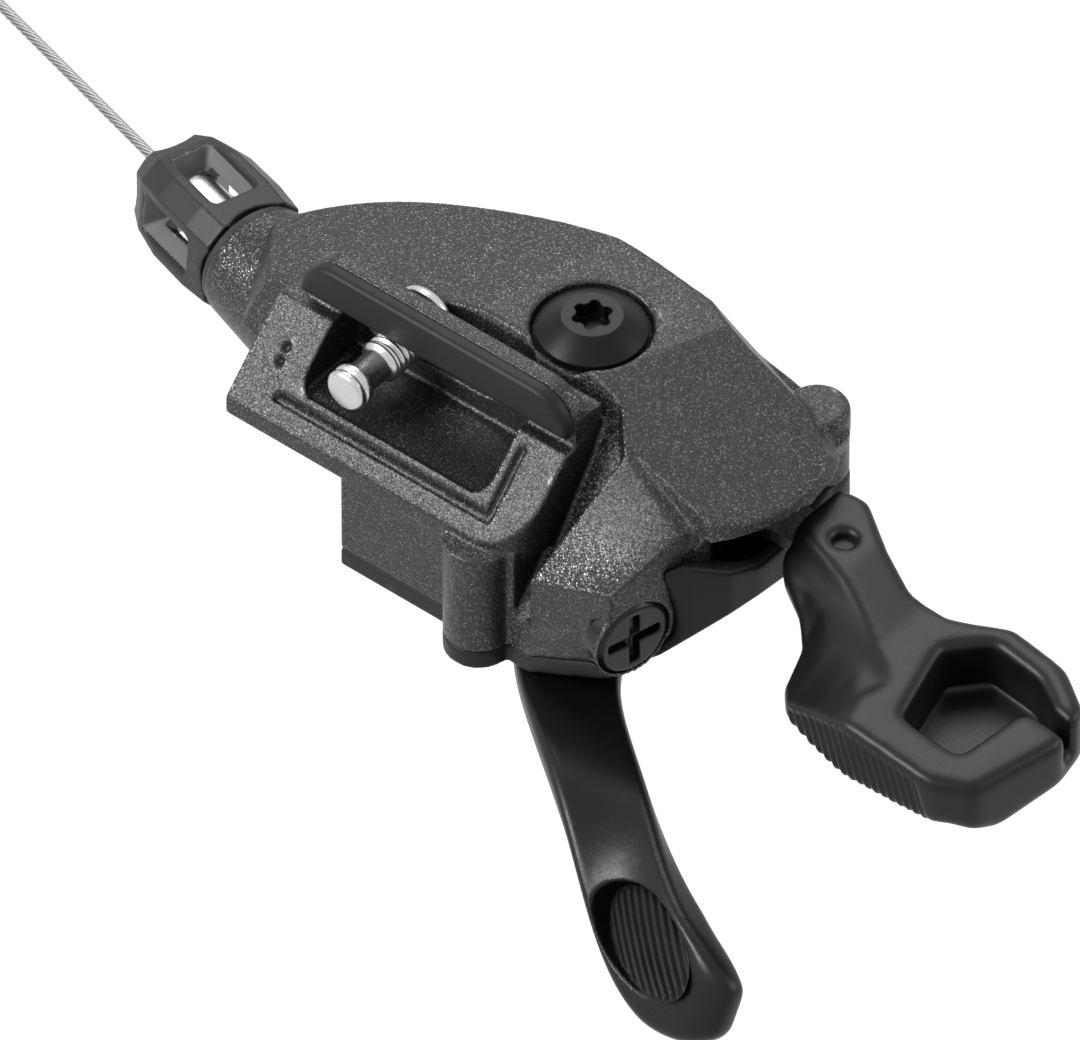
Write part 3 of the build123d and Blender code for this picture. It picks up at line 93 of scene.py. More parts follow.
class ShifterFinish(bpy.types.PropertyGroup):
    """Colours and grain of the shifter's materials."""

    paint: FloatVectorProperty(
        name="Case paint", description="Dark ground of the case's flecked paint",
        subtype="COLOR", size=3, default=(0.042, 0.042, 0.043),
    )
    # The fleck colour is also the paler colour of the case's edges, partly wear and partly a painted edge
    # highlight.
    fleck: FloatVectorProperty(
        name="Fleck", description="Bright metal fleck in the case's paint",
        subtype="COLOR", size=3, default=(0.20, 0.20, 0.204),
    )
    fleck_size: FloatProperty(
        name="Fleck size", description="Width of one metal fleck", unit="LENGTH", default=0.13 * MM,
    )
    fleck_tilt: FloatProperty(
        name="Fleck tilt", description="How far the flecks lean out of the paint's face", default=0.4,
    )
    moulding: FloatVectorProperty(
        name="Moulding", description="Satin black of the bracket's cap, cover and barrel",
        subtype="COLOR", size=3, default=(0.015, 0.015, 0.0155),
    )
    lever: FloatVectorProperty(
        name="Lever", description="Semi-gloss black of the main lever",
        subtype="COLOR", size=3, default=(0.0045, 0.0045, 0.005),
    )
    pad: FloatVectorProperty(
        name="Pads", description="Matt black of the finger pads",
        subtype="COLOR", size=3, default=(0.006, 0.006, 0.0063),
    )
    steel: FloatVectorProperty(
        name="Steel", description="Plated steel of the stud, axle and inner works",
        subtype="COLOR", size=3, default=(0.56, 0.56, 0.57),
    )
    tube: FloatVectorProperty(
        name="Tube", description="Bright tube inside the adjuster",
        subtype="COLOR", size=3, default=(0.66, 0.66, 0.67),
    )
    brass: FloatVectorProperty(
        name="Brass", description="Bushes on the main axle",
        subtype="COLOR", size=3, default=(0.62, 0.46, 0.20),
    )
    edge_round: FloatProperty(
        name="Edge rounding", description="Softening of small pieces' edges in the finish",
        unit="LENGTH", default=0.2 * MM,
    )


class ShifterForm(bpy.types.PropertyGroup):
    """Sizes of what is shaped here."""

    grain: FloatProperty(
        name="Skin", description="Spacing of the points in a rounded moulding",
        unit="LENGTH", default=0.22 * MM,
    )
    pad_ribs: IntProperty(name="Pad ribs", description="Ribs across the release pad's front", default=18)
    pad_rib_depth: FloatProperty(
        name="Pad rib depth", description="Depth of the release pad's ribs", unit="LENGTH", default=0.35 * MM,
    )
    grip_pitch: FloatProperty(
        name="Grip pitch", description="Spacing of the thumb grip's ribs", unit="LENGTH", default=1.05 * MM,
    )
    grip_slant: FloatProperty(
        name="Grip slant", description="Turn of the thumb grip's ribs from its length",
        subtype="ANGLE", default=math.radians(23),
    )
    thread_pitch: FloatProperty(
        name="Thread", description="Pitch of the stud's thread", unit="LENGTH", default=0.8 * MM,
    )
    strands: IntProperty(name="Strands", description="Outer wires of the cable", default=8)
    cable_d: FloatProperty(
        name="Cable", description="Diameter of the inner cable", unit="LENGTH", default=1.2 * MM,
    )
    cable_lay: FloatProperty(
        name="Lay", description="Length of one turn of the cable's wires", unit="LENGTH", default=8 * MM,
    )


class ShifterStage(bpy.types.PropertyGroup):
    """Camera, lamps and floor."""

    azimuth: FloatProperty(
        name="Azimuth", description="Camera's turn round the shifter",
        subtype="ANGLE", default=math.radians(39.5),
    )
    elevation: FloatProperty(
        name="Elevation", description="Camera's height above the horizon",
        subtype="ANGLE", default=math.radians(44.4),
    )
    lens: FloatProperty(name="Lens", description="Focal length", unit="CAMERA", default=1000.0)
    frame_width: FloatProperty(
        name="Frame width", description="Width of the view at the shifter",
        unit="LENGTH", default=VIEW_WIDTH / PIXELS_PER_MM * MM,
    )
    aim_right: FloatProperty(
        name="Aim right", description="Middle of the view, to the right of the stud",
        unit="LENGTH", default=(VIEW_WIDTH / 2 - STUD_ACROSS) / PIXELS_PER_MM * MM,
    )
    aim_up: FloatProperty(
        name="Aim up", description="Middle of the view, above the stud",
        unit="LENGTH", default=(STUD_DOWN - VIEW_HEIGHT / 2) / PIXELS_PER_MM * MM,
    )
    floor_drop: FloatProperty(
        name="Floor drop", description="Gap between the lowest lever and the floor",
        unit="LENGTH", default=120 * MM,
    )
    floor_colour: FloatVectorProperty(
        name="Floor", description="Colour of the floor", subtype="COLOR", size=3,
        default=(0.32, 0.32, 0.32),
    )
    paper_glow: FloatProperty(
        name="Paper white", description="Share of white that the floor and backdrop show by themselves",
        default=0.78,
    )
    fill: FloatProperty(name="Fill", description="Strength of the even light all round", default=0.19)


def new_material(name, roughness, metallic=0.0, specular=0.5):
    """Node material with its shader's even values set, and its tree, shader and coordinates."""
    made = bpy.data.materials.new(name)
    made.use_nodes = True
    tree = made.node_tree
    shader = tree.nodes["Principled BSDF"]
    shader.inputs["Roughness"].default_value = roughness
    shader.inputs["Metallic"].default_value = metallic
    shader.inputs["Specular IOR Level"].default_value = specular
    place = tree.nodes.new("ShaderNodeTexCoord").outputs["Object"]
    return made, tree, shader, place


def noise(tree, place, size, detail=2.0, stretch=(1, 1, 1)):
    """Noise whose grain has the given width in metres, and may be stretched along an axis."""
    mapping = tree.nodes.new("ShaderNodeMapping")
    mapping.inputs["Scale"].default_value = stretch
    tree.links.new(place, mapping.inputs["Vector"])
    texture = tree.nodes.new("ShaderNodeTexNoise")
    texture.inputs["Scale"].default_value = 1 / size
    texture.inputs["Detail"].default_value = detail
    tree.links.new(mapping.outputs["Vector"], texture.inputs["Vector"])
    return texture.outputs["Fac"]


def ramp(tree, value, stops):
    """Colour ramp through (position, colour) stops."""
    made = tree.nodes.new("ShaderNodeValToRGB")
    elements = made.color_ramp.elements
    while len(elements) < len(stops):
        elements.new(0.5)
    for element, (position, colour) in zip(elements, stops):
        element.position = position
        element.color = (*colour, 1)
    tree.links.new(value, made.inputs["Fac"])
    return made.outputs["Color"]


def spread(tree, value, low, high, start=0.3, end=0.7):
    """Number from low to high as the texture goes from start to end."""
    made = tree.nodes.new("ShaderNodeMapRange")
    made.inputs["From Min"].default_value = start
    made.inputs["From Max"].default_value = end
    made.inputs["To Min"].default_value = low
    made.inputs["To Max"].default_value = high
    tree.links.new(value, made.inputs["Value"])
    return made.outputs["Result"]


def worn_and_highlit_edges(tree, colour, wear_and_highlight_colour, start, end, most):
    """Colour that goes over to another on outer edges: partly rubbed paint, partly a painted highlight along
    the edges.
    """
    geometry = tree.nodes.new("ShaderNodeNewGeometry")
    mix = tree.nodes.new("ShaderNodeMix")
    mix.data_type = "RGBA"
    edge = spread(tree, geometry.outputs["Pointiness"], 0, most, start, end)
    tree.links.new(edge, mix.inputs["Factor"])
    tree.links.new(colour, mix.inputs["A"])
    mix.inputs["B"].default_value = (*wear_and_highlight_colour, 1)
    return mix.outputs["Result"]


def relief(tree, shader, height, depth, rounding=0.0, face=None):
    """Bump of a depth in metres on the shader, over edges softened by rounding or a given normal."""
    bump = tree.nodes.new("ShaderNodeBump")
    bump.inputs["Strength"].default_value = 1.0
    bump.inputs["Distance"].default_value = depth
    tree.links.new(height, bump.inputs["Height"])
    if face:
        tree.links.new(face, bump.inputs["Normal"])
    if rounding:
        bevel = tree.nodes.new("ShaderNodeBevel")
        bevel.samples = 6
        bevel.inputs["Radius"].default_value = rounding
        tree.links.new(bevel.outputs["Normal"], bump.inputs["Normal"])
    tree.links.new(bump.outputs["Normal"], shader.inputs["Normal"])


def scaled(colour, factor):
    """Colour made lighter or darker."""
    return tuple(min(1.0, channel * factor) for channel in colour)


def leaning(tree, pattern, tilt):
    """Normal that leans its own way in each cell of a pattern."""
    geometry = tree.nodes.new("ShaderNodeNewGeometry")
    either_way = tree.nodes.new("ShaderNodeVectorMath")
    either_way.operation = "SUBTRACT"
    either_way.inputs[1].default_value = (0.5, 0.5, 0.5)
    tree.links.new(pattern, either_way.inputs[0])
    lean = tree.nodes.new("ShaderNodeVectorMath")
    lean.operation = "MULTIPLY_ADD"
    lean.inputs[1].default_value = (tilt, tilt, tilt)
    tree.links.new(either_way.outputs["Vector"], lean.inputs[0])
    tree.links.new(geometry.outputs["Normal"], lean.inputs[2])
    unit = tree.nodes.new("ShaderNodeVectorMath")
    unit.operation = "NORMALIZE"
    tree.links.new(lean.outputs["Vector"], unit.inputs[0])
    return unit.outputs["Vector"]


def flecked_paint(name, finish):
    """Dark metallic paint: leaning bright fleck in a dark ground, made lighter on the edges, partly as rubbed
    paint and partly as a painted edge highlight.
    """
    made, tree, shader, place = new_material(name, 0.36, 0.75, 0.25)
    cells = tree.nodes.new("ShaderNodeTexVoronoi")
    cells.inputs["Scale"].default_value = 1 / finish.fleck_size
    tree.links.new(place, cells.inputs["Vector"])
    grey = tree.nodes.new("ShaderNodeSeparateColor")
    tree.links.new(cells.outputs["Color"], grey.inputs["Color"])
    colour = ramp(tree, grey.outputs["Red"], [
        (0.0, scaled(finish.paint, 0.8)), (0.6, finish.paint),
        (0.86, scaled(finish.paint, 1.45)), (0.98, finish.fleck),
    ])
    # Outer edges go over to the fleck colour: partly rubbed paint, partly a painted edge highlight.
    tree.links.new(worn_and_highlit_edges(tree, colour, finish.fleck, 0.53, 0.63, 0.7), shader.inputs["Base Color"])
    tree.links.new(spread(tree, grey.outputs["Green"], 0.33, 0.46), shader.inputs["Roughness"])
    face = leaning(tree, cells.outputs["Color"], finish.fleck_tilt)
    relief(tree, shader, grey.outputs["Blue"], 0.006 * MM, face=face)
    return made


def moulded(name, colour, roughness, grain, depth, rounding=0.0, gloss=0.18):
    """Black moulding: fine grain, slight unevenness of colour and sheen, paler on the edges, partly as rubbed
    wear and partly as a painted edge highlight.
    """
    made, tree, shader, place = new_material(name, roughness, 0.0, gloss)
    broad = noise(tree, place, 9 * MM)
    uneven = ramp(tree, broad, [(0.3, scaled(colour, 0.85)), (0.7, scaled(colour, 1.25))])
    # Edges go over to a colour 3.5 times paler: partly rubbed wear, partly a painted edge highlight.
    tree.links.new(worn_and_highlit_edges(tree, uneven, scaled(colour, 3.5), 0.53, 0.64, 0.7), shader.inputs["Base Color"])
    fine = noise(tree, place, grain)
    tree.links.new(spread(tree, fine, roughness - 0.06, roughness + 0.06), shader.inputs["Roughness"])
    relief(tree, shader, fine, depth, rounding)
    return made


def turned_metal(name, colour, roughness, stretch=(1, 1, 1)):
    """Bare metal with fine tool marks, stretched across the direction of turning."""
    made, tree, shader, place = new_material(name, roughness, 1.0)
    marks = noise(tree, place, 0.25 * MM, 3.0, stretch)
    tree.links.new(
        ramp(tree, marks, [(0.3, scaled(colour, 0.86)), (0.7, scaled(colour, 1.08))]),
        shader.inputs["Base Color"],
    )
    tree.links.new(spread(tree, marks, roughness - 0.07, roughness + 0.09), shader.inputs["Roughness"])
    relief(tree, shader, marks, 0.004 * MM)
    return made


def dress(names, made):
    """Give CAD nodes one material."""
    for name in names:
        node = frame["nodes"][name]
        node.data.materials.clear()
        node.data.materials.append(made)


def stand_in(piece, node, made):
    """Let a finished piece stand for a CAD node on the node's own body."""
    piece.data.materials.clear()
    piece.data.materials.append(made)
    piece.data.polygons.foreach_set("use_smooth", [True] * len(piece.data.polygons))
    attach(piece, frame["nodes"][node]["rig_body"])
    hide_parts(node)


def mesh_piece(name, points, faces):
    """Object of a mesh, linked to the scene."""
    mesh = bpy.data.meshes.new(name)
    mesh.from_pydata(points, [], faces)
    piece = bpy.data.objects.new(name, mesh)
    bpy.context.scene.collection.objects.link(piece)
    return piece


def settle(piece):
    """Work a piece's modifiers into its mesh."""
    drawn = piece.evaluated_get(bpy.context.evaluated_depsgraph_get())
    mesh = bpy.data.meshes.new_from_object(drawn)
    piece.modifiers.clear()
    piece.data = mesh


def copied(name, node):
    """Copy of a CAD node whose faces are welded together."""
    piece = bpy.data.objects.new(name, frame["nodes"][node].data.copy())
    bpy.context.scene.collection.objects.link(piece)
    weld = piece.modifiers.new("weld", "WELD")
    weld.merge_threshold = 0.001 * MM
    return piece


def softened(name, node, grain, passes):
    """Copy of a CAD node with the rounded edges of a moulding."""
    piece = copied(name, node)
    reskin(piece, grain, passes)
    return piece


def reskin(piece, grain, passes, keep=1.0):
    """Draw an even skin of points over a piece, smooth it and thin it out."""
    skin = piece.modifiers.new("skin", "REMESH")
    skin.mode = "VOXEL"
    skin.voxel_size = grain
    if passes:
        rounding = piece.modifiers.new("rounding", "SMOOTH")
        rounding.factor = 0.5
        rounding.iterations = passes
    if keep < 1:
        thin = piece.modifiers.new("thin", "DECIMATE")
        thin.ratio = keep
    settle(piece)


def rub_down(piece, weights, passes):
    """Smooth a mesh further where its points' weights say so."""
    group = piece.vertex_groups.new(name="worn_and_highlit_edges")
    for index in np.nonzero(weights > 0.01)[0]:
        group.add([int(index)], float(weights[index]), "REPLACE")
    smooth = piece.modifiers.new("worn_and_highlit_edges", "SMOOTH")
    smooth.vertex_group = group.name
    smooth.factor = 0.5
    smooth.iterations = passes
    settle(piece)
    piece.vertex_groups.clear()


def read_rows(items, attribute):
    """Three numbers of each of a mesh's items, as rows."""
    values = np.empty(len(items) * 3)
    items.foreach_get(attribute, values)
    return values.reshape(-1, 3)


def points_of(piece):
    """A mesh's points, in millimetres."""
    return read_rows(piece.data.vertices, "co") / MM


def normals_of(piece):
    """Unit normals at a mesh's points."""
    return read_rows(piece.data.vertex_normals, "vector")


def move_points(piece, points):
    """Write a mesh's points back, from millimetres."""
    piece.data.vertices.foreach_set("co", (points * MM).ravel())
    piece.data.update()


def ease(value, start, end):
    """Smooth step from 0 at start to 1 at end."""
    share = np.clip((value - start) / (end - start), 0, 1)
    return share * share * (3 - 2 * share)


def add_block(piece, plan, lows, highs):
    """Add a block with the given corners, in millimetres, to a piece that a new skin then joins."""
    work = bmesh.new()
    work.from_mesh(piece.data)
    low, high = (
        [work.verts.new((x * MM, y * MM, z * MM)) for (x, y), z in zip(plan, heights)]
        for heights in (lows, highs)
    )
    sides = [work.faces.new(high), work.faces.new(reversed(low))]
    for corner, vertex in enumerate(low):
        sides.append(work.faces.new((vertex, high[corner], high[corner - 1], low[corner - 1])))
    bmesh.ops.recalc_face_normals(work, faces=sides)
    work.to_mesh(piece.data)
    work.free()


def grid_faces(rows, columns):
    """Faces of a grid of rows whose columns close on themselves."""
    faces = []
    for row in range(rows - 1):
        for column in range(columns):
            after = (column + 1) % columns
            faces.append((
                row * columns + column, row * columns + after,
                (row + 1) * columns + after, (row + 1) * columns + column,
            ))
    return faces


def turned_points(profile, spokes, shape):
    """Points of a piece turned round the stud's axis: shape gives x and z from place, radius and turn."""
    points = []
    for place, radius in profile:
        for spoke in range(spokes):
            x, z = shape(place, radius, spoke / spokes)
            points.append((x * MM, place * MM, z * MM))
    return points


class SHIFTER_OT_stage(bpy.types.Operator):
    """Build the floor, the lamps and the camera"""

    bl_idname = "shifter.stage"
    bl_label = "Studio"
    FLOOR_HALF = 6.0
    SENSOR_WIDTH = 36.0
    CLIP_NEAR, CLIP_FAR = 0.1, 4
    # Offset from the shifter's middle and width, in metres, and power
    LAMPS = {
        "front_lamp": ((-0.44, -0.66, 0.60), 0.40, 10.5),
        "top_lamp": ((-0.38, 0.48, 0.74), 0.45, 3.2),
        "rim_lamp": ((0.55, 0.45, 0.30), 0.35, 1.5),
    }

    def execute(self, context):
        stage = context.scene.shifter_stage
        low, high = (Vector(corner) for corner in CAD_BOX)
        floor_z = low.z - stage.floor_drop
        half = self.FLOOR_HALF
        corners = ((-half, -half), (half, -half), (half, half), (-half, half))
        floor = mesh_piece("studio_floor", [(*corner, floor_z) for corner in corners], [(0, 1, 2, 3)])
        made, tree, shader, _ = new_material("floor_paper", 0.9, 0.0, 0.0)
        shader.inputs["Base Color"].default_value = (*stage.floor_colour, 1)
        glow = tree.nodes.new("ShaderNodeEmission")
        tree.links.new(self.seen(tree, 0, stage.paper_glow), glow.inputs["Strength"])
        both = tree.nodes.new("ShaderNodeAddShader")
        tree.links.new(shader.outputs["BSDF"], both.inputs[0])
        tree.links.new(glow.outputs["Emission"], both.inputs[1])
        tree.links.new(both.outputs["Shader"], tree.nodes["Material Output"].inputs["Surface"])
        floor.data.materials.append(made)

        world = bpy.data.worlds.new("studio_world")
        context.scene.world = world
        world.use_nodes = True
        sky = world.node_tree.nodes["Background"]
        sky.inputs["Color"].default_value = (1, 1, 1, 1)
        world.node_tree.links.new(self.seen(world.node_tree, stage.fill, 1.0), sky.inputs["Strength"])

        centre = (low + high) / 2
        for name, (offset, width, power) in self.LAMPS.items():
            data = bpy.data.lights.new(name, "AREA")
            data.shape = "SQUARE"
            data.size = width
            data.energy = power
            lamp = bpy.data.objects.new(name, data)
            lamp.location = centre + Vector(offset)
            lamp.rotation_mode = "QUATERNION"
            lamp.rotation_quaternion = (-Vector(offset)).to_track_quat("-Z", "Y")
            context.scene.collection.objects.link(lamp)

        a, e = stage.azimuth, stage.elevation
        back = Vector((math.sin(a) * math.cos(e), -math.cos(a) * math.cos(e), math.sin(e)))
        right = Vector((math.cos(a), math.sin(a), 0))
        up = back.cross(right)
        data = bpy.data.cameras.new("studio_camera")
        data.sensor_width = self.SENSOR_WIDTH
        data.lens = stage.lens
        reach = stage.frame_width * stage.lens / data.sensor_width
        data.clip_start = reach * self.CLIP_NEAR
        data.clip_end = reach * self.CLIP_FAR
        camera = bpy.data.objects.new("studio_camera", data)
        camera.location = right * stage.aim_right + up * stage.aim_up + back * reach
        camera.rotation_euler = Matrix((right, up, back)).transposed().to_euler()
        context.scene.collection.objects.link(camera)
        context.scene.camera = camera
        context.scene.view_settings.view_transform = "Standard"
        return {"FINISHED"}

    def seen(self, tree, unseen, shown):
        """Strength that the camera, reflections and glass see, and another for all other light."""
        rays = tree.nodes.new("ShaderNodeLightPath")
        either = tree.nodes.new("ShaderNodeMath")
        tree.links.new(rays.outputs["Is Camera Ray"], either.inputs[0])
        tree.links.new(rays.outputs["Is Glossy Ray"], either.inputs[1])
        any_of = tree.nodes.new("ShaderNodeMath")
        any_of.use_clamp = True
        tree.links.new(either.outputs["Value"], any_of.inputs[0])
        tree.links.new(rays.outputs["Is Transmission Ray"], any_of.inputs[1])
        return spread(tree, any_of.outputs["Value"], unseen, shown, 0, 1)


class SHIFTER_OT_cable(bpy.types.Operator):
    """Lay the stranded inner cable from the adjuster to its end cap"""

    bl_idname = "shifter.cable"
    bl_label = "Cable"
    ROUTE = (
        CABLE_EXIT, (-52, 15.6675, -15), (-66, 19.5501, -15), (-80, 23.4327, -15), (-85.5677, 24.9765, -15),
    )
    WIRE_SIDES = 6

    def execute(self, context):
        form = context.scene.shifter_form
        finish = context.scene.shifter_finish
        route = [tuple(axis * MM for axis in place) for place in self.ROUTE]
        line = bpy.data.curves.new("cable_route", "CURVE")
        line.dimensions = "3D"
        spline = line.splines.new("NURBS")
        spline.points.add(len(route) - 1)
        for point, place in zip(spline.points, route):
            point.co = (*place, 1)
        spline.order_u = 3
        spline.use_endpoint_u = True
        spline.resolution_u = 40
        holder = bpy.data.objects.new("cable_route", line)
        context.scene.collection.objects.link(holder)
        drawn = bpy.data.meshes.new_from_object(holder.evaluated_get(context.evaluated_depsgraph_get()))
        path = np.array([vertex.co for vertex in drawn.vertices])
        bpy.data.meshes.remove(drawn)
        bpy.data.objects.remove(holder)

        steps = np.linalg.norm(np.diff(path, axis=0), axis=1)
        along = np.concatenate([[0], np.cumsum(steps)])
        ahead = np.gradient(path, axis=0)
        ahead /= np.linalg.norm(ahead, axis=1)[:, None]
        up = np.array([0, 0, 1.0])
        side = np.cross(ahead, up)
        sides = self.WIRE_SIDES
        share = math.sin(math.pi / form.strands)
        wire_r = form.cable_d / 2 * share / (1 + share)
        lay_r = form.cable_d / 2 - wire_r
        points, faces = [], []
        for strand in range(form.strands + 1):
            core = strand == form.strands
            turn = 2 * math.pi * (strand / form.strands + along / form.cable_lay)
            out = np.cos(turn)[:, None] * side + np.sin(turn)[:, None] * up
            over = np.cross(ahead, out)
            centre = path if core else path + lay_r * out
            radius = lay_r if core else wire_r
            first = len(points)
            for row in range(len(path)):
                for corner in range(sides):
                    angle = 2 * math.pi * corner / sides
                    spoke = math.cos(angle) * out[row] + math.sin(angle) * over[row]
                    points.append(tuple(centre[row] + radius * spoke))
            faces += [tuple(first + i for i in face) for face in grid_faces(len(path), sides)]
            faces.append(tuple(first + i for i in reversed(range(sides))))
            faces.append(tuple(first + (len(path) - 1) * sides + i for i in range(sides)))
        cable = mesh_piece("cable_strands", points, faces)
        wire = turned_metal("cable_steel", scaled(finish.steel, 0.5), 0.5)
        stand_in(cable, "cable_tail", wire)
        dress(["inner_cable", "cable_wrap"], wire)
        return {"FINISHED"}


class SHIFTER_OT_case(bpy.types.Operator):
    """Round and finish the case, the bracket and what closes them"""

    bl_idname = "shifter.case"
    bl_label = "Case"
    # Outline of the dome over the lever's slot, and how far in its underside slopes
    RIM_Y = (-3, 0, 4, 9.3, 14, 18, 21)
    RIM_X = (43.2, 44.8, 46.6, 47.8, 47.0, 45.0, 43.4)
    RIM_WIDTH = 6
    RIM_LOW, RIM_THICKENS = -3.0, 2.7
    LUG = (40.0, 19.5)
    LUG_R = 3.5
    RAIL_FORWARD = 1.5
    PITS = ((-10.9, -8.5), (-10.9, -9.65))
    PIT_DEPTH = 0.7
    BOWL_MIDDLE = (38.0, 4.0)
    BOWL_WALL = 0.9
    # The bowl's underside: a point on it, and its slopes along x and y
    BOWL_UNDER = (36.4, -2.0, -23.0)
    BOWL_SLOPES = (1.11, -0.125)
    # Lift of the bowl's front wall, by y
    WALL_LIFT = ((-6, -3.6, 0, 4), (3.3, 3.3, 1.5, 0.0))
    # Share of the skin's points that stays
    SHELL_KEEP, COVER_KEEP = 0.28, 0.7

    def execute(self, context):
        finish = context.scene.shifter_finish
        form = context.scene.shifter_form
        shell = softened("painted_shell", "upper_case", form.grain, 2)
        self.lift_rim(shell)
        self.thin_rail(shell)
        self.press_pits(shell)
        reskin(shell, form.grain, 4, self.SHELL_KEEP)
        stand_in(shell, "upper_case", flecked_paint("case_paint", finish))
        satin = moulded("satin_moulding", finish.moulding, 0.46, 0.12 * MM, 0.008 * MM)
        cover = softened("cover_moulding", "lower_cover", form.grain, 1)
        self.trim_bowl(cover)
        rub_down(cover, ease(points_of(cover)[:, 0], 35, 38), 40)
        reskin(cover, form.grain, 3, self.COVER_KEEP)
        stand_in(cover, "lower_cover", satin)
        rail = softened("rail_moulding", "rail_cap", form.grain, 4)
        stand_in(rail, "rail_cap", satin)
        small = moulded("satin_small", finish.moulding, 0.44, 0.12 * MM, 0.006 * MM, finish.edge_round)
        dress(["adjuster_ring", "winding_drum"], small)
        plug_black = moulded("plug_black", finish.lever, 0.34, 0.2 * MM, 0.004 * MM, gloss=0.3)
        plug = softened("plug_button", "cable_hole_plug", form.grain * 0.6, 8)
        stand_in(plug, "cable_hole_plug", plug_black)
        black = moulded("black_screw", finish.lever, 0.36, 0.2 * MM, 0.004 * MM, finish.edge_round)
        dress(["axle_cap_screw", "cover_screws", "release_pad_pin"], black)
        return {"FINISHED"}

    def lift_rim(self, shell):
        """Slope the dome's underside up to a thin rim over the lever's slot."""
        points = points_of(shell)
        x, y, z = points.T
        edge = np.interp(y, self.RIM_Y, self.RIM_X)
        inside = np.clip(np.minimum(y - self.RIM_Y[0], edge - x), 0, self.RIM_WIDTH)
        start = 41.0 - 3.5 * ease(y, 0.5, 3.0)
        lug = np.array(self.LUG)
        off = points[:, :2] - lug
        reach = np.hypot(off[:, 0], off[:, 1])
        share = ease(x, start, start + 1) * ease(-y, -22.5, -21.5) * ease(z, -6.4, -5.9)
        share = share * (reach > self.LUG_R + 0.2)
        lowest = self.RIM_LOW - self.RIM_THICKENS * inside / self.RIM_WIDTH
        points[:, 2] = z + share * np.maximum(lowest - z, 0)
        beside_lug = (x > 41.5) & (y > 15.5) & (reach > self.LUG_R)
        fin = beside_lug & (points[:, 2] < -4.2) & (z > -11)
        points[fin, :2] = lug + off[fin] * (self.LUG_R / reach[fin])[:, None]
        move_points(shell, points)

    def thin_rail(self, shell):
        """Bring the back of the rail forward, so that the stud's head shows behind it."""
        points = points_of(shell)
        x, y, z = points.T
        along = ease(x, -13.0, -11.0) * ease(-x, -27.0, -25.0)
        share = along * ease(z, 4.2, 5.2) * ease(y, -2.9, -0.4) * ease(-y, -1.6, -0.4)
        points[:, 1] = y - self.RAIL_FORWARD * share
        move_points(shell, points)

    def press_pits(self, shell):
        """Press two small marks into the bracket's left face."""
        points, normals = points_of(shell), normals_of(shell)
        facing = normals @ np.array([0.0, -0.7, 0.7]) > 0.8
        for x, y in self.PITS:
            apart = np.hypot(points[:, 0] - x, points[:, 1] - y)
            depth = self.PIT_DEPTH * ease(-apart, -0.55, -0.2) * facing
            points = points - normals * depth[:, None]
        move_points(shell, points)

    def trim_bowl(self, cover):
        """Slope the bowl's underside, and lift its front wall towards the shoulder."""
        points, normals = points_of(cover), normals_of(cover)
        x, y, z = points.T
        inward = np.einsum("ij,ij->i", points[:, :2] - self.BOWL_MIDDLE, normals[:, :2]) < 0
        inner = (normals[:, 2] > 0.5) | inward
        under_x, under_y, under_z = self.BOWL_UNDER
        along_x, along_y = self.BOWL_SLOPES
        lowest = under_z + along_y * (y - under_y) + along_x * (x - under_x) + self.BOWL_WALL * inner
        share = ease(x, 33.5, 34.0) * ease(-z, 10.5, 13)
        z = z + share * np.maximum(lowest - z, 0)
        lift = np.interp(y, *self.WALL_LIFT)
        points[:, 2] = z + lift * ease(x, 38.2, 39.0) * ease(z, -14, -10.2)
        move_points(cover, points)


class SHIFTER_OT_adjuster(bpy.types.Operator):
    """Round and finish the adjuster's barrel and tube"""

    bl_idname = "shifter.adjuster"
    bl_label = "Adjuster"
    # Where the windows lie along the cable and away from it, and the most that their slopes face outwards
    WINDOW_ALONG = (-13.0, -2.6)
    WINDOW_R = (3.0, 6.2)
    SLOPE = 0.72

    def execute(self, context):
        finish = context.scene.shifter_finish
        grain = context.scene.shifter_form.grain * 0.7
        barrel = softened("barrel_moulding", "adjuster_barrel", grain, 3)
        colour = scaled(finish.moulding, 1.5)
        black = moulded("barrel_black", colour, 0.40, 0.2 * MM, 0.006 * MM, gloss=0.25)
        stand_in(barrel, "adjuster_barrel", black)
        # Paints a paler reflection onto the sloped faces of the barrel's windows.
        self.paint_window_sheen(barrel, finish)
        dress(["adjuster_bolt"], turned_metal("bright_tube", finish.tube, 0.34, (1, 1, 6)))
        dress(["cable_end_cap"], turned_metal("crimped_cap", scaled(finish.tube, 0.55), 0.4))
        return {"FINISHED"}

    def paint_window_sheen(self, barrel, finish):
        """Give the sloped faces of the barrel's windows a smoother finish whose paler colour is a painted
        reflection of the bright surroundings and tube.
        """
        barrel.data.materials.append(
            # The tenfold paler colour is a painted reflection. The gloss is the finish's own.
            moulded("barrel_window_painted_sheen", scaled(finish.moulding, 10), 0.34, 0.2 * MM, 0.003 * MM, gloss=0.5)
        )
        end, out = np.array(CABLE_EXIT), np.array(CABLE_WAY)
        centres = read_rows(barrel.data.polygons, "center") / MM - end
        normals = read_rows(barrel.data.polygons, "normal")
        along = centres @ out
        spoke = centres - along[:, None] * out
        radius = np.linalg.norm(spoke, axis=1)
        outward = np.einsum("ij,ij->i", normals, spoke) / radius
        (first, last), (near, far) = self.WINDOW_ALONG, self.WINDOW_R
        painted_sheen_faces = (radius > near) & (radius < far) & (along > first) & (along < last)
        painted_sheen_faces &= abs(outward) < self.SLOPE
        barrel.data.polygons.foreach_set("material_index", painted_sheen_faces.astype(np.int32))


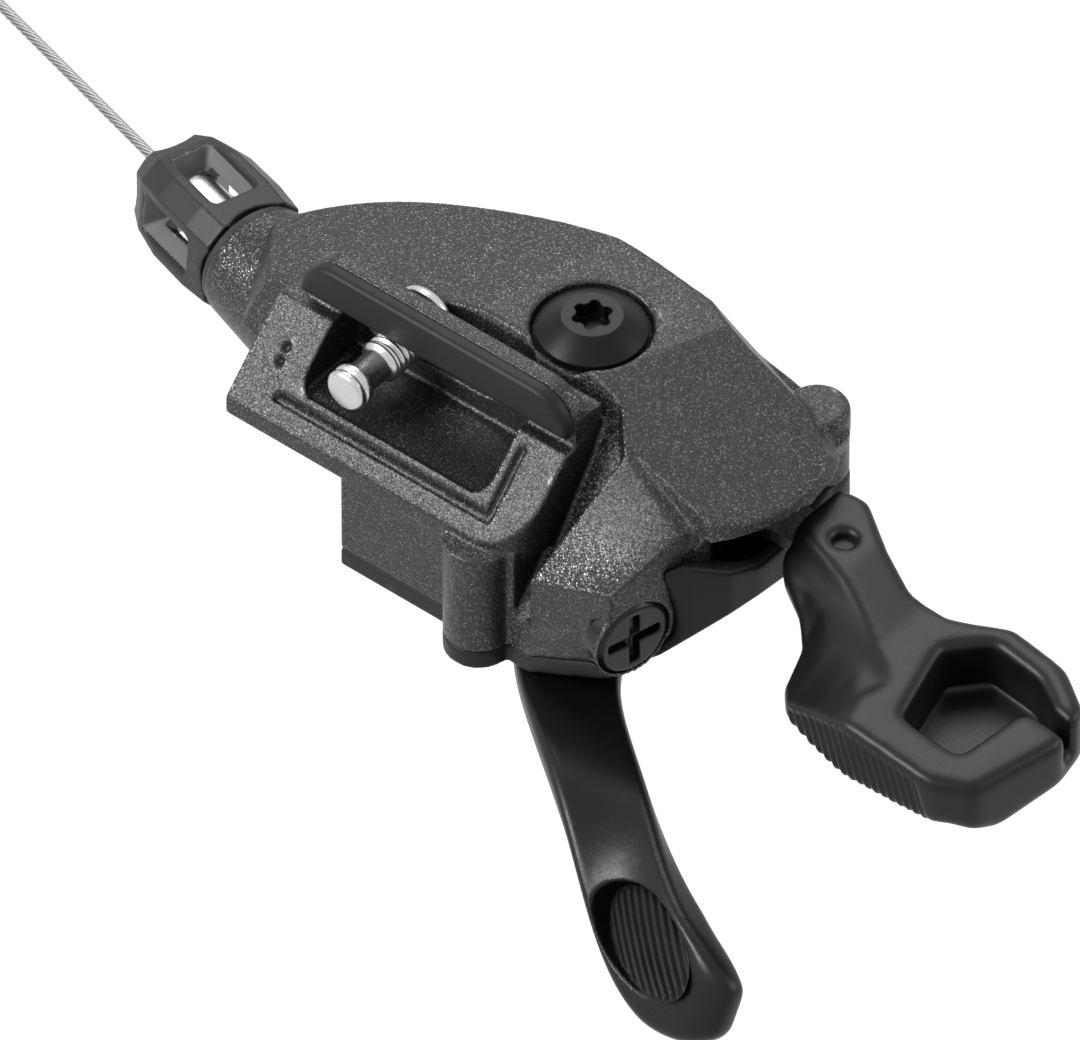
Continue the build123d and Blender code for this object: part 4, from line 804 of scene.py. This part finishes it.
class SHIFTER_OT_release(bpy.types.Operator):
    """Round the release pad and rib its front"""

    bl_idname = "shifter.release"
    bl_label = "Release pad"
    # Corners, in plan, and heights of the finger cup's floor and of the arm's side
    CUP = ((71.2, -7.4), (68.4, 5.2), (72.4, 9.8), (79.8, 9.0), (83.0, 5.8), (82.2, 2.4), (81.4, -7.4))
    SIDE = ((50.3, 15.3), (56.0, 11.35), (58.6, 10.0), (58.1, 9.0), (55.4, 10.45), (49.7, 14.4))
    CUP_LOW, CUP_TOP = -15.9, -14.3
    SIDE_LOW, SIDE_TOP = -10.3, -7.5
    # Lines along x: heights of the front's foot and ridge and of the hollow's crest, y of its two sides
    FOOT = ((56.6, 63, 68.5, 75.5, 82.5), (-15.1, -15.8, -15.8, -15.0, -14.0))
    RIDGE = (
        (48, 52, 55, 56.6, 60, 63, 67, 68.5, 82),
        (-9.5, -11.2, -12.3, -13.4, -11.9, -10.2, -8.4, -8.0, -8.4),
    )
    CREST = ((46, 55, 64, 68.5), (-6.0, -6.3, -7.7, -8.0))
    FRONT = ((48, 52, 55, 56.6, 58.6, 63, 68.5), (4.6, 2.0, -1.0, -6.0, -8.2, -9.4, -10.8))
    BROW = ((46.3, 51.9, 59.1, 63.7, 66.8, 68.5), (6.5, 4.9, 2.6, 0.9, -4.6, -10.7))
    HOLLOW_END = 68.5
    MIDDLE_Z = -11
    # The underside's slope back from the front
    FRONT_Y = -11
    UNDER_SLOPE = 0.445
    SWELL = 0.3
    RIBS_FROM, RIBS_TO = 57.0, 79.0
    RIB_LEAN = 0.36
    # Furthest y of the steel arm, by x
    ARM_END = ((50, 56, 61.5), (14.0, 9.8, 7.0))

    def execute(self, context):
        finish = context.scene.shifter_finish
        form = context.scene.shifter_form
        pad = copied("release_moulding", "release_pad")
        floor = [max(self.CUP_LOW, -13.5 - self.UNDER_SLOPE * (y - self.FRONT_Y)) for _, y in self.CUP]
        add_block(pad, self.CUP, floor, [self.CUP_TOP] * len(self.CUP))
        corners = len(self.SIDE)
        add_block(pad, self.SIDE, [self.SIDE_LOW] * corners, [self.SIDE_TOP] * corners)
        reskin(pad, form.grain, 6)
        self.hollow_out(pad)
        reskin(pad, form.grain, 4)
        rub_down(pad, 0.4 + 0.6 * ease(points_of(pad)[:, 0], 66, 70), 100)
        self.rib_front(pad, form.pad_ribs, form.pad_rib_depth / MM)
        matt = moulded("pad_matt", finish.pad, 0.38, 0.15 * MM, 0.010 * MM, gloss=0.26)
        stand_in(pad, "release_pad", matt)

        arm = copied("release_arm", "release_plate")
        settle(arm)
        points = points_of(arm)
        points[:, 1] = np.minimum(points[:, 1], np.interp(points[:, 0], *self.ARM_END))
        move_points(arm, points)
        stand_in(arm, "release_plate", turned_metal("release_steel", finish.steel, 0.3))
        arm.data.polygons.foreach_set("use_smooth", [False] * len(arm.data.polygons))
        return {"FINISHED"}

    def hollow_out(self, pad):
        """Deepen the front's foot and sink the hollow between the arm and the cup."""
        points = points_of(pad)
        x, y, z = points.T
        above = z - self.MIDDLE_Z
        under = -13.6 - self.UNDER_SLOPE * (np.clip(y, self.FRONT_Y, -5) - self.FRONT_Y)
        foot = np.interp(x, *self.FOOT)
        deepen = np.clip((foot - self.MIDDLE_Z) / (under - self.MIDDLE_Z), 1, 2) - 1
        z = z + above * deepen * ease(-y, 5.5, 8.0) * (above < 0)
        front, brow = np.interp(x, *self.FRONT), np.interp(x, *self.BROW)
        sill, crest = np.interp(x, *self.RIDGE), np.interp(x, *self.CREST)
        rise = np.clip((y - front) / np.maximum(brow - front, 0.1), 0, 1) ** 1.6
        scoop = sill + (crest - sill) * rise
        points[:, 2] = np.where((x < self.HOLLOW_END) & (y < brow), np.minimum(z, scoop), z)
        move_points(pad, points)

    def rib_front(self, pad, ribs, rib_depth):
        """Swell the pad a little and press slanted ribs into its front."""
        points, normals = points_of(pad), normals_of(pad)
        points = points + self.SWELL * normals
        below = np.interp(points[:, 0], *self.RIDGE) - points[:, 2]
        across = points[:, 0] - self.RIB_LEAN * below
        first, last = self.RIBS_FROM, self.RIBS_TO
        pitch = (last - first) / ribs
        facing = ease(-normals[:, 1], 0.25, 0.55) * ease(-points[:, 1], 3.0, 5.5)
        inside = ease(across, first, first + 1.5) * ease(-across, -last, -last + 1.5)
        depth = facing * inside * ease(below, 0.5, 1.6) * rib_depth
        wave = 0.5 - 0.5 * np.cos(2 * np.pi * (across - first) / pitch)
        move_points(pad, points - normals * (depth * wave)[:, None])


class SHIFTER_OT_lever(bpy.types.Operator):
    """Round the main lever and make its ribbed thumb grip"""

    bl_idname = "shifter.lever"
    bl_label = "Main lever"
    HEADING, ROLL = math.radians(-26), math.radians(55)
    GRIP_CENTRE = (58.2, -29.3, -33.5)
    GRIP_HALF_LENGTH, GRIP_HALF_WIDTH = 8.4, 4.5
    GRIP_HEIGHT, GRIP_CROWN, GRIP_RIB = 1.35, 0.45, 0.55
    RINGS, SPOKES = 48, 200

    def execute(self, context):
        finish = context.scene.shifter_finish
        form = context.scene.shifter_form
        lever = softened("lever_moulding", "main_lever", form.grain, 6)
        rub_down(lever, ease(points_of(lever)[:, 0], 60, 65), 120)
        gloss = moulded("lever_gloss", finish.lever, 0.34, 0.3 * MM, 0.003 * MM, gloss=0.26)
        stand_in(lever, "main_lever", gloss)

        along = np.array([math.cos(self.HEADING), math.sin(self.HEADING), 0])
        right = np.array([along[1], -along[0], 0])
        up = np.array([0, 0, 1.0])
        across = right * math.cos(self.ROLL) - up * math.sin(self.ROLL)
        out = right * math.sin(self.ROLL) + up * math.cos(self.ROLL)
        centre = np.array(self.GRIP_CENTRE)
        points = []
        for ring in range(self.RINGS):
            share = (ring + 0.5) / self.RINGS
            rim = 1 - float(ease(share, 0.90, 1.0))
            for spoke in range(self.SPOKES):
                angle = 2 * math.pi * spoke / self.SPOKES
                a = self.GRIP_HALF_LENGTH * share * math.cos(angle)
                b = self.GRIP_HALF_WIDTH * share * math.sin(angle)
                q = b * math.cos(form.grip_slant) - a * math.sin(form.grip_slant)
                wave = 0.5 + 0.5 * math.cos(2 * math.pi * q * MM / form.grip_pitch)
                crown = self.GRIP_CROWN * (1 - share * share)
                height = self.GRIP_HEIGHT + crown + self.GRIP_RIB * wave * wave * rim
                points.append(tuple((centre + along * a + across * b + out * height) * MM))
        faces = grid_faces(self.RINGS, self.SPOKES)
        faces.append(tuple(reversed(range(self.SPOKES))))
        grip = mesh_piece("thumb_grip", points, faces)
        rubber = moulded("grip_rubber", scaled(finish.pad, 0.8), 0.5, 0.12 * MM, 0.006 * MM)
        stand_in(grip, "lever_grip", rubber)
        return {"FINISHED"}


class SHIFTER_OT_metal(bpy.types.Operator):
    """Thread the mounting stud and finish the axle and the inner works"""

    bl_idname = "shifter.metal"
    bl_label = "Metal"
    SPOKES = 72
    STUD_R = 2.5
    THREAD_FROM, THREAD_FULL, THREAD_TO, THREAD_STEP = -5.85, -5.3, 1.2, 0.05
    THREAD_DEPTH = 0.36
    # Place along the stud's axis and radius
    TIP = (
        (-12.0, 0.0), (-12.0, 2.05), (-11.95, 2.17), (-11.75, 2.4), (-11.62, 2.48), (-11.2, 2.5),
        (-11.08, 2.42), (-11.0, 2.2), (-10.75, 2.2), (-10.66, 2.42), (-10.55, 2.5), (-10.0, 2.5),
        (-9.84, 2.44), (-9.7, 2.05), (-9.6, 1.9), (-9.4, 1.85), (-6.4, 1.85), (-6.2, 1.9), (-6.0, 2.1),
    )
    HEAD = (
        (1.25, 0.0), (1.25, 3.9), (1.4, 4.15), (1.7, 4.2), (2.2, 4.1), (2.55, 3.8), (2.74, 3.2), (2.74, 0.0),
    )
    HEAD_RISE = 1.2

    def execute(self, context):
        finish = context.scene.shifter_finish
        form = context.scene.shifter_form
        steel = turned_metal("plated_steel", finish.steel, 0.26, (1, 8, 1))
        places = np.arange(self.THREAD_FROM, self.THREAD_TO, self.THREAD_STEP)
        thread = [(place, self.STUD_R) for place in places]
        end = self.HEAD[-1][0]
        profile = [*self.TIP, *thread, (end, self.STUD_R), (end, 0.0)]

        def threaded(place, radius, turn):
            groove = 0.5 + 0.5 * math.cos(2 * math.pi * (place * MM / form.thread_pitch + turn))
            if radius == self.STUD_R:
                run_in = float(ease(place, self.THREAD_FROM, self.THREAD_FULL))
                radius -= self.THREAD_DEPTH * groove * run_in
            angle = 2 * math.pi * turn
            return radius * math.cos(angle), radius * math.sin(angle)

        def domed(place, radius, turn):
            angle = 2 * math.pi * turn
            height = radius * math.sin(angle)
            return radius * math.cos(angle), height * self.HEAD_RISE if height > 0 else height

        for name, node, outline, shape in (
            ("threaded_stud", "mount_stud", profile, threaded),
            ("stud_button", "stud_head", self.HEAD, domed),
        ):
            points = turned_points(outline, self.SPOKES, shape)
            piece = mesh_piece(name, points, grid_faces(len(outline), self.SPOKES))
            stand_in(piece, node, steel)
        dress(
            [
                "main_axle", "base_plate", "release_pivot_pin", "hold_pawl", "hold_pawl_pin", "winding_pawl",
                "winding_pawl_pin", "pawl_carrier", "winding_ratchet", "hold_ratchet", "cable_nipple",
                "adjuster_seat",
            ],
            steel,
        )
        dress(["drum_bush", "lever_bush"], turned_metal("bush_brass", finish.brass, 0.30, (1, 1, 6)))
        wire = turned_metal("spring_wire", scaled(finish.steel, 0.6), 0.32)
        dress(["drum_spring", "lever_spring", "release_spring", "axle_nut", "axle_washer"], wire)
        return {"FINISHED"}


class SHIFTER_PT_panel(bpy.types.Panel):
    """Steps of the dressing, in order"""

    bl_idname = "SHIFTER_PT_panel"
    bl_label = "Trigger shifter"
    bl_space_type = "VIEW_3D"
    bl_region_type = "UI"
    bl_category = "Shifter"

    def draw(self, context):
        for step in STEPS:
            self.layout.operator(step.bl_idname)


STEPS = (
    SHIFTER_OT_stage, SHIFTER_OT_cable, SHIFTER_OT_case, SHIFTER_OT_adjuster, SHIFTER_OT_release,
    SHIFTER_OT_lever, SHIFTER_OT_metal,
)
GROUPS = {"shifter_finish": ShifterFinish, "shifter_form": ShifterForm, "shifter_stage": ShifterStage}
CLASSES = (*GROUPS.values(), *STEPS, SHIFTER_PT_panel)


def register():
    """Register the classes and hang the settings on the scene."""
    for made in CLASSES:
        bpy.utils.register_class(made)
    for name, group in GROUPS.items():
        setattr(bpy.types.Scene, name, PointerProperty(type=group))


def unregister():
    """Take the settings and the classes away again."""
    for name in GROUPS:
        delattr(bpy.types.Scene, name)
    for made in reversed(CLASSES):
        bpy.utils.unregister_class(made)


def main():
    """Dress the shifter."""
    register()
    bpy.ops.shifter.stage()
    bpy.ops.shifter.cable()
    bpy.ops.shifter.case()
    bpy.ops.shifter.adjuster()
    bpy.ops.shifter.release()
    bpy.ops.shifter.lever()
    bpy.ops.shifter.metal()


if __name__ == "__main__":
    main()
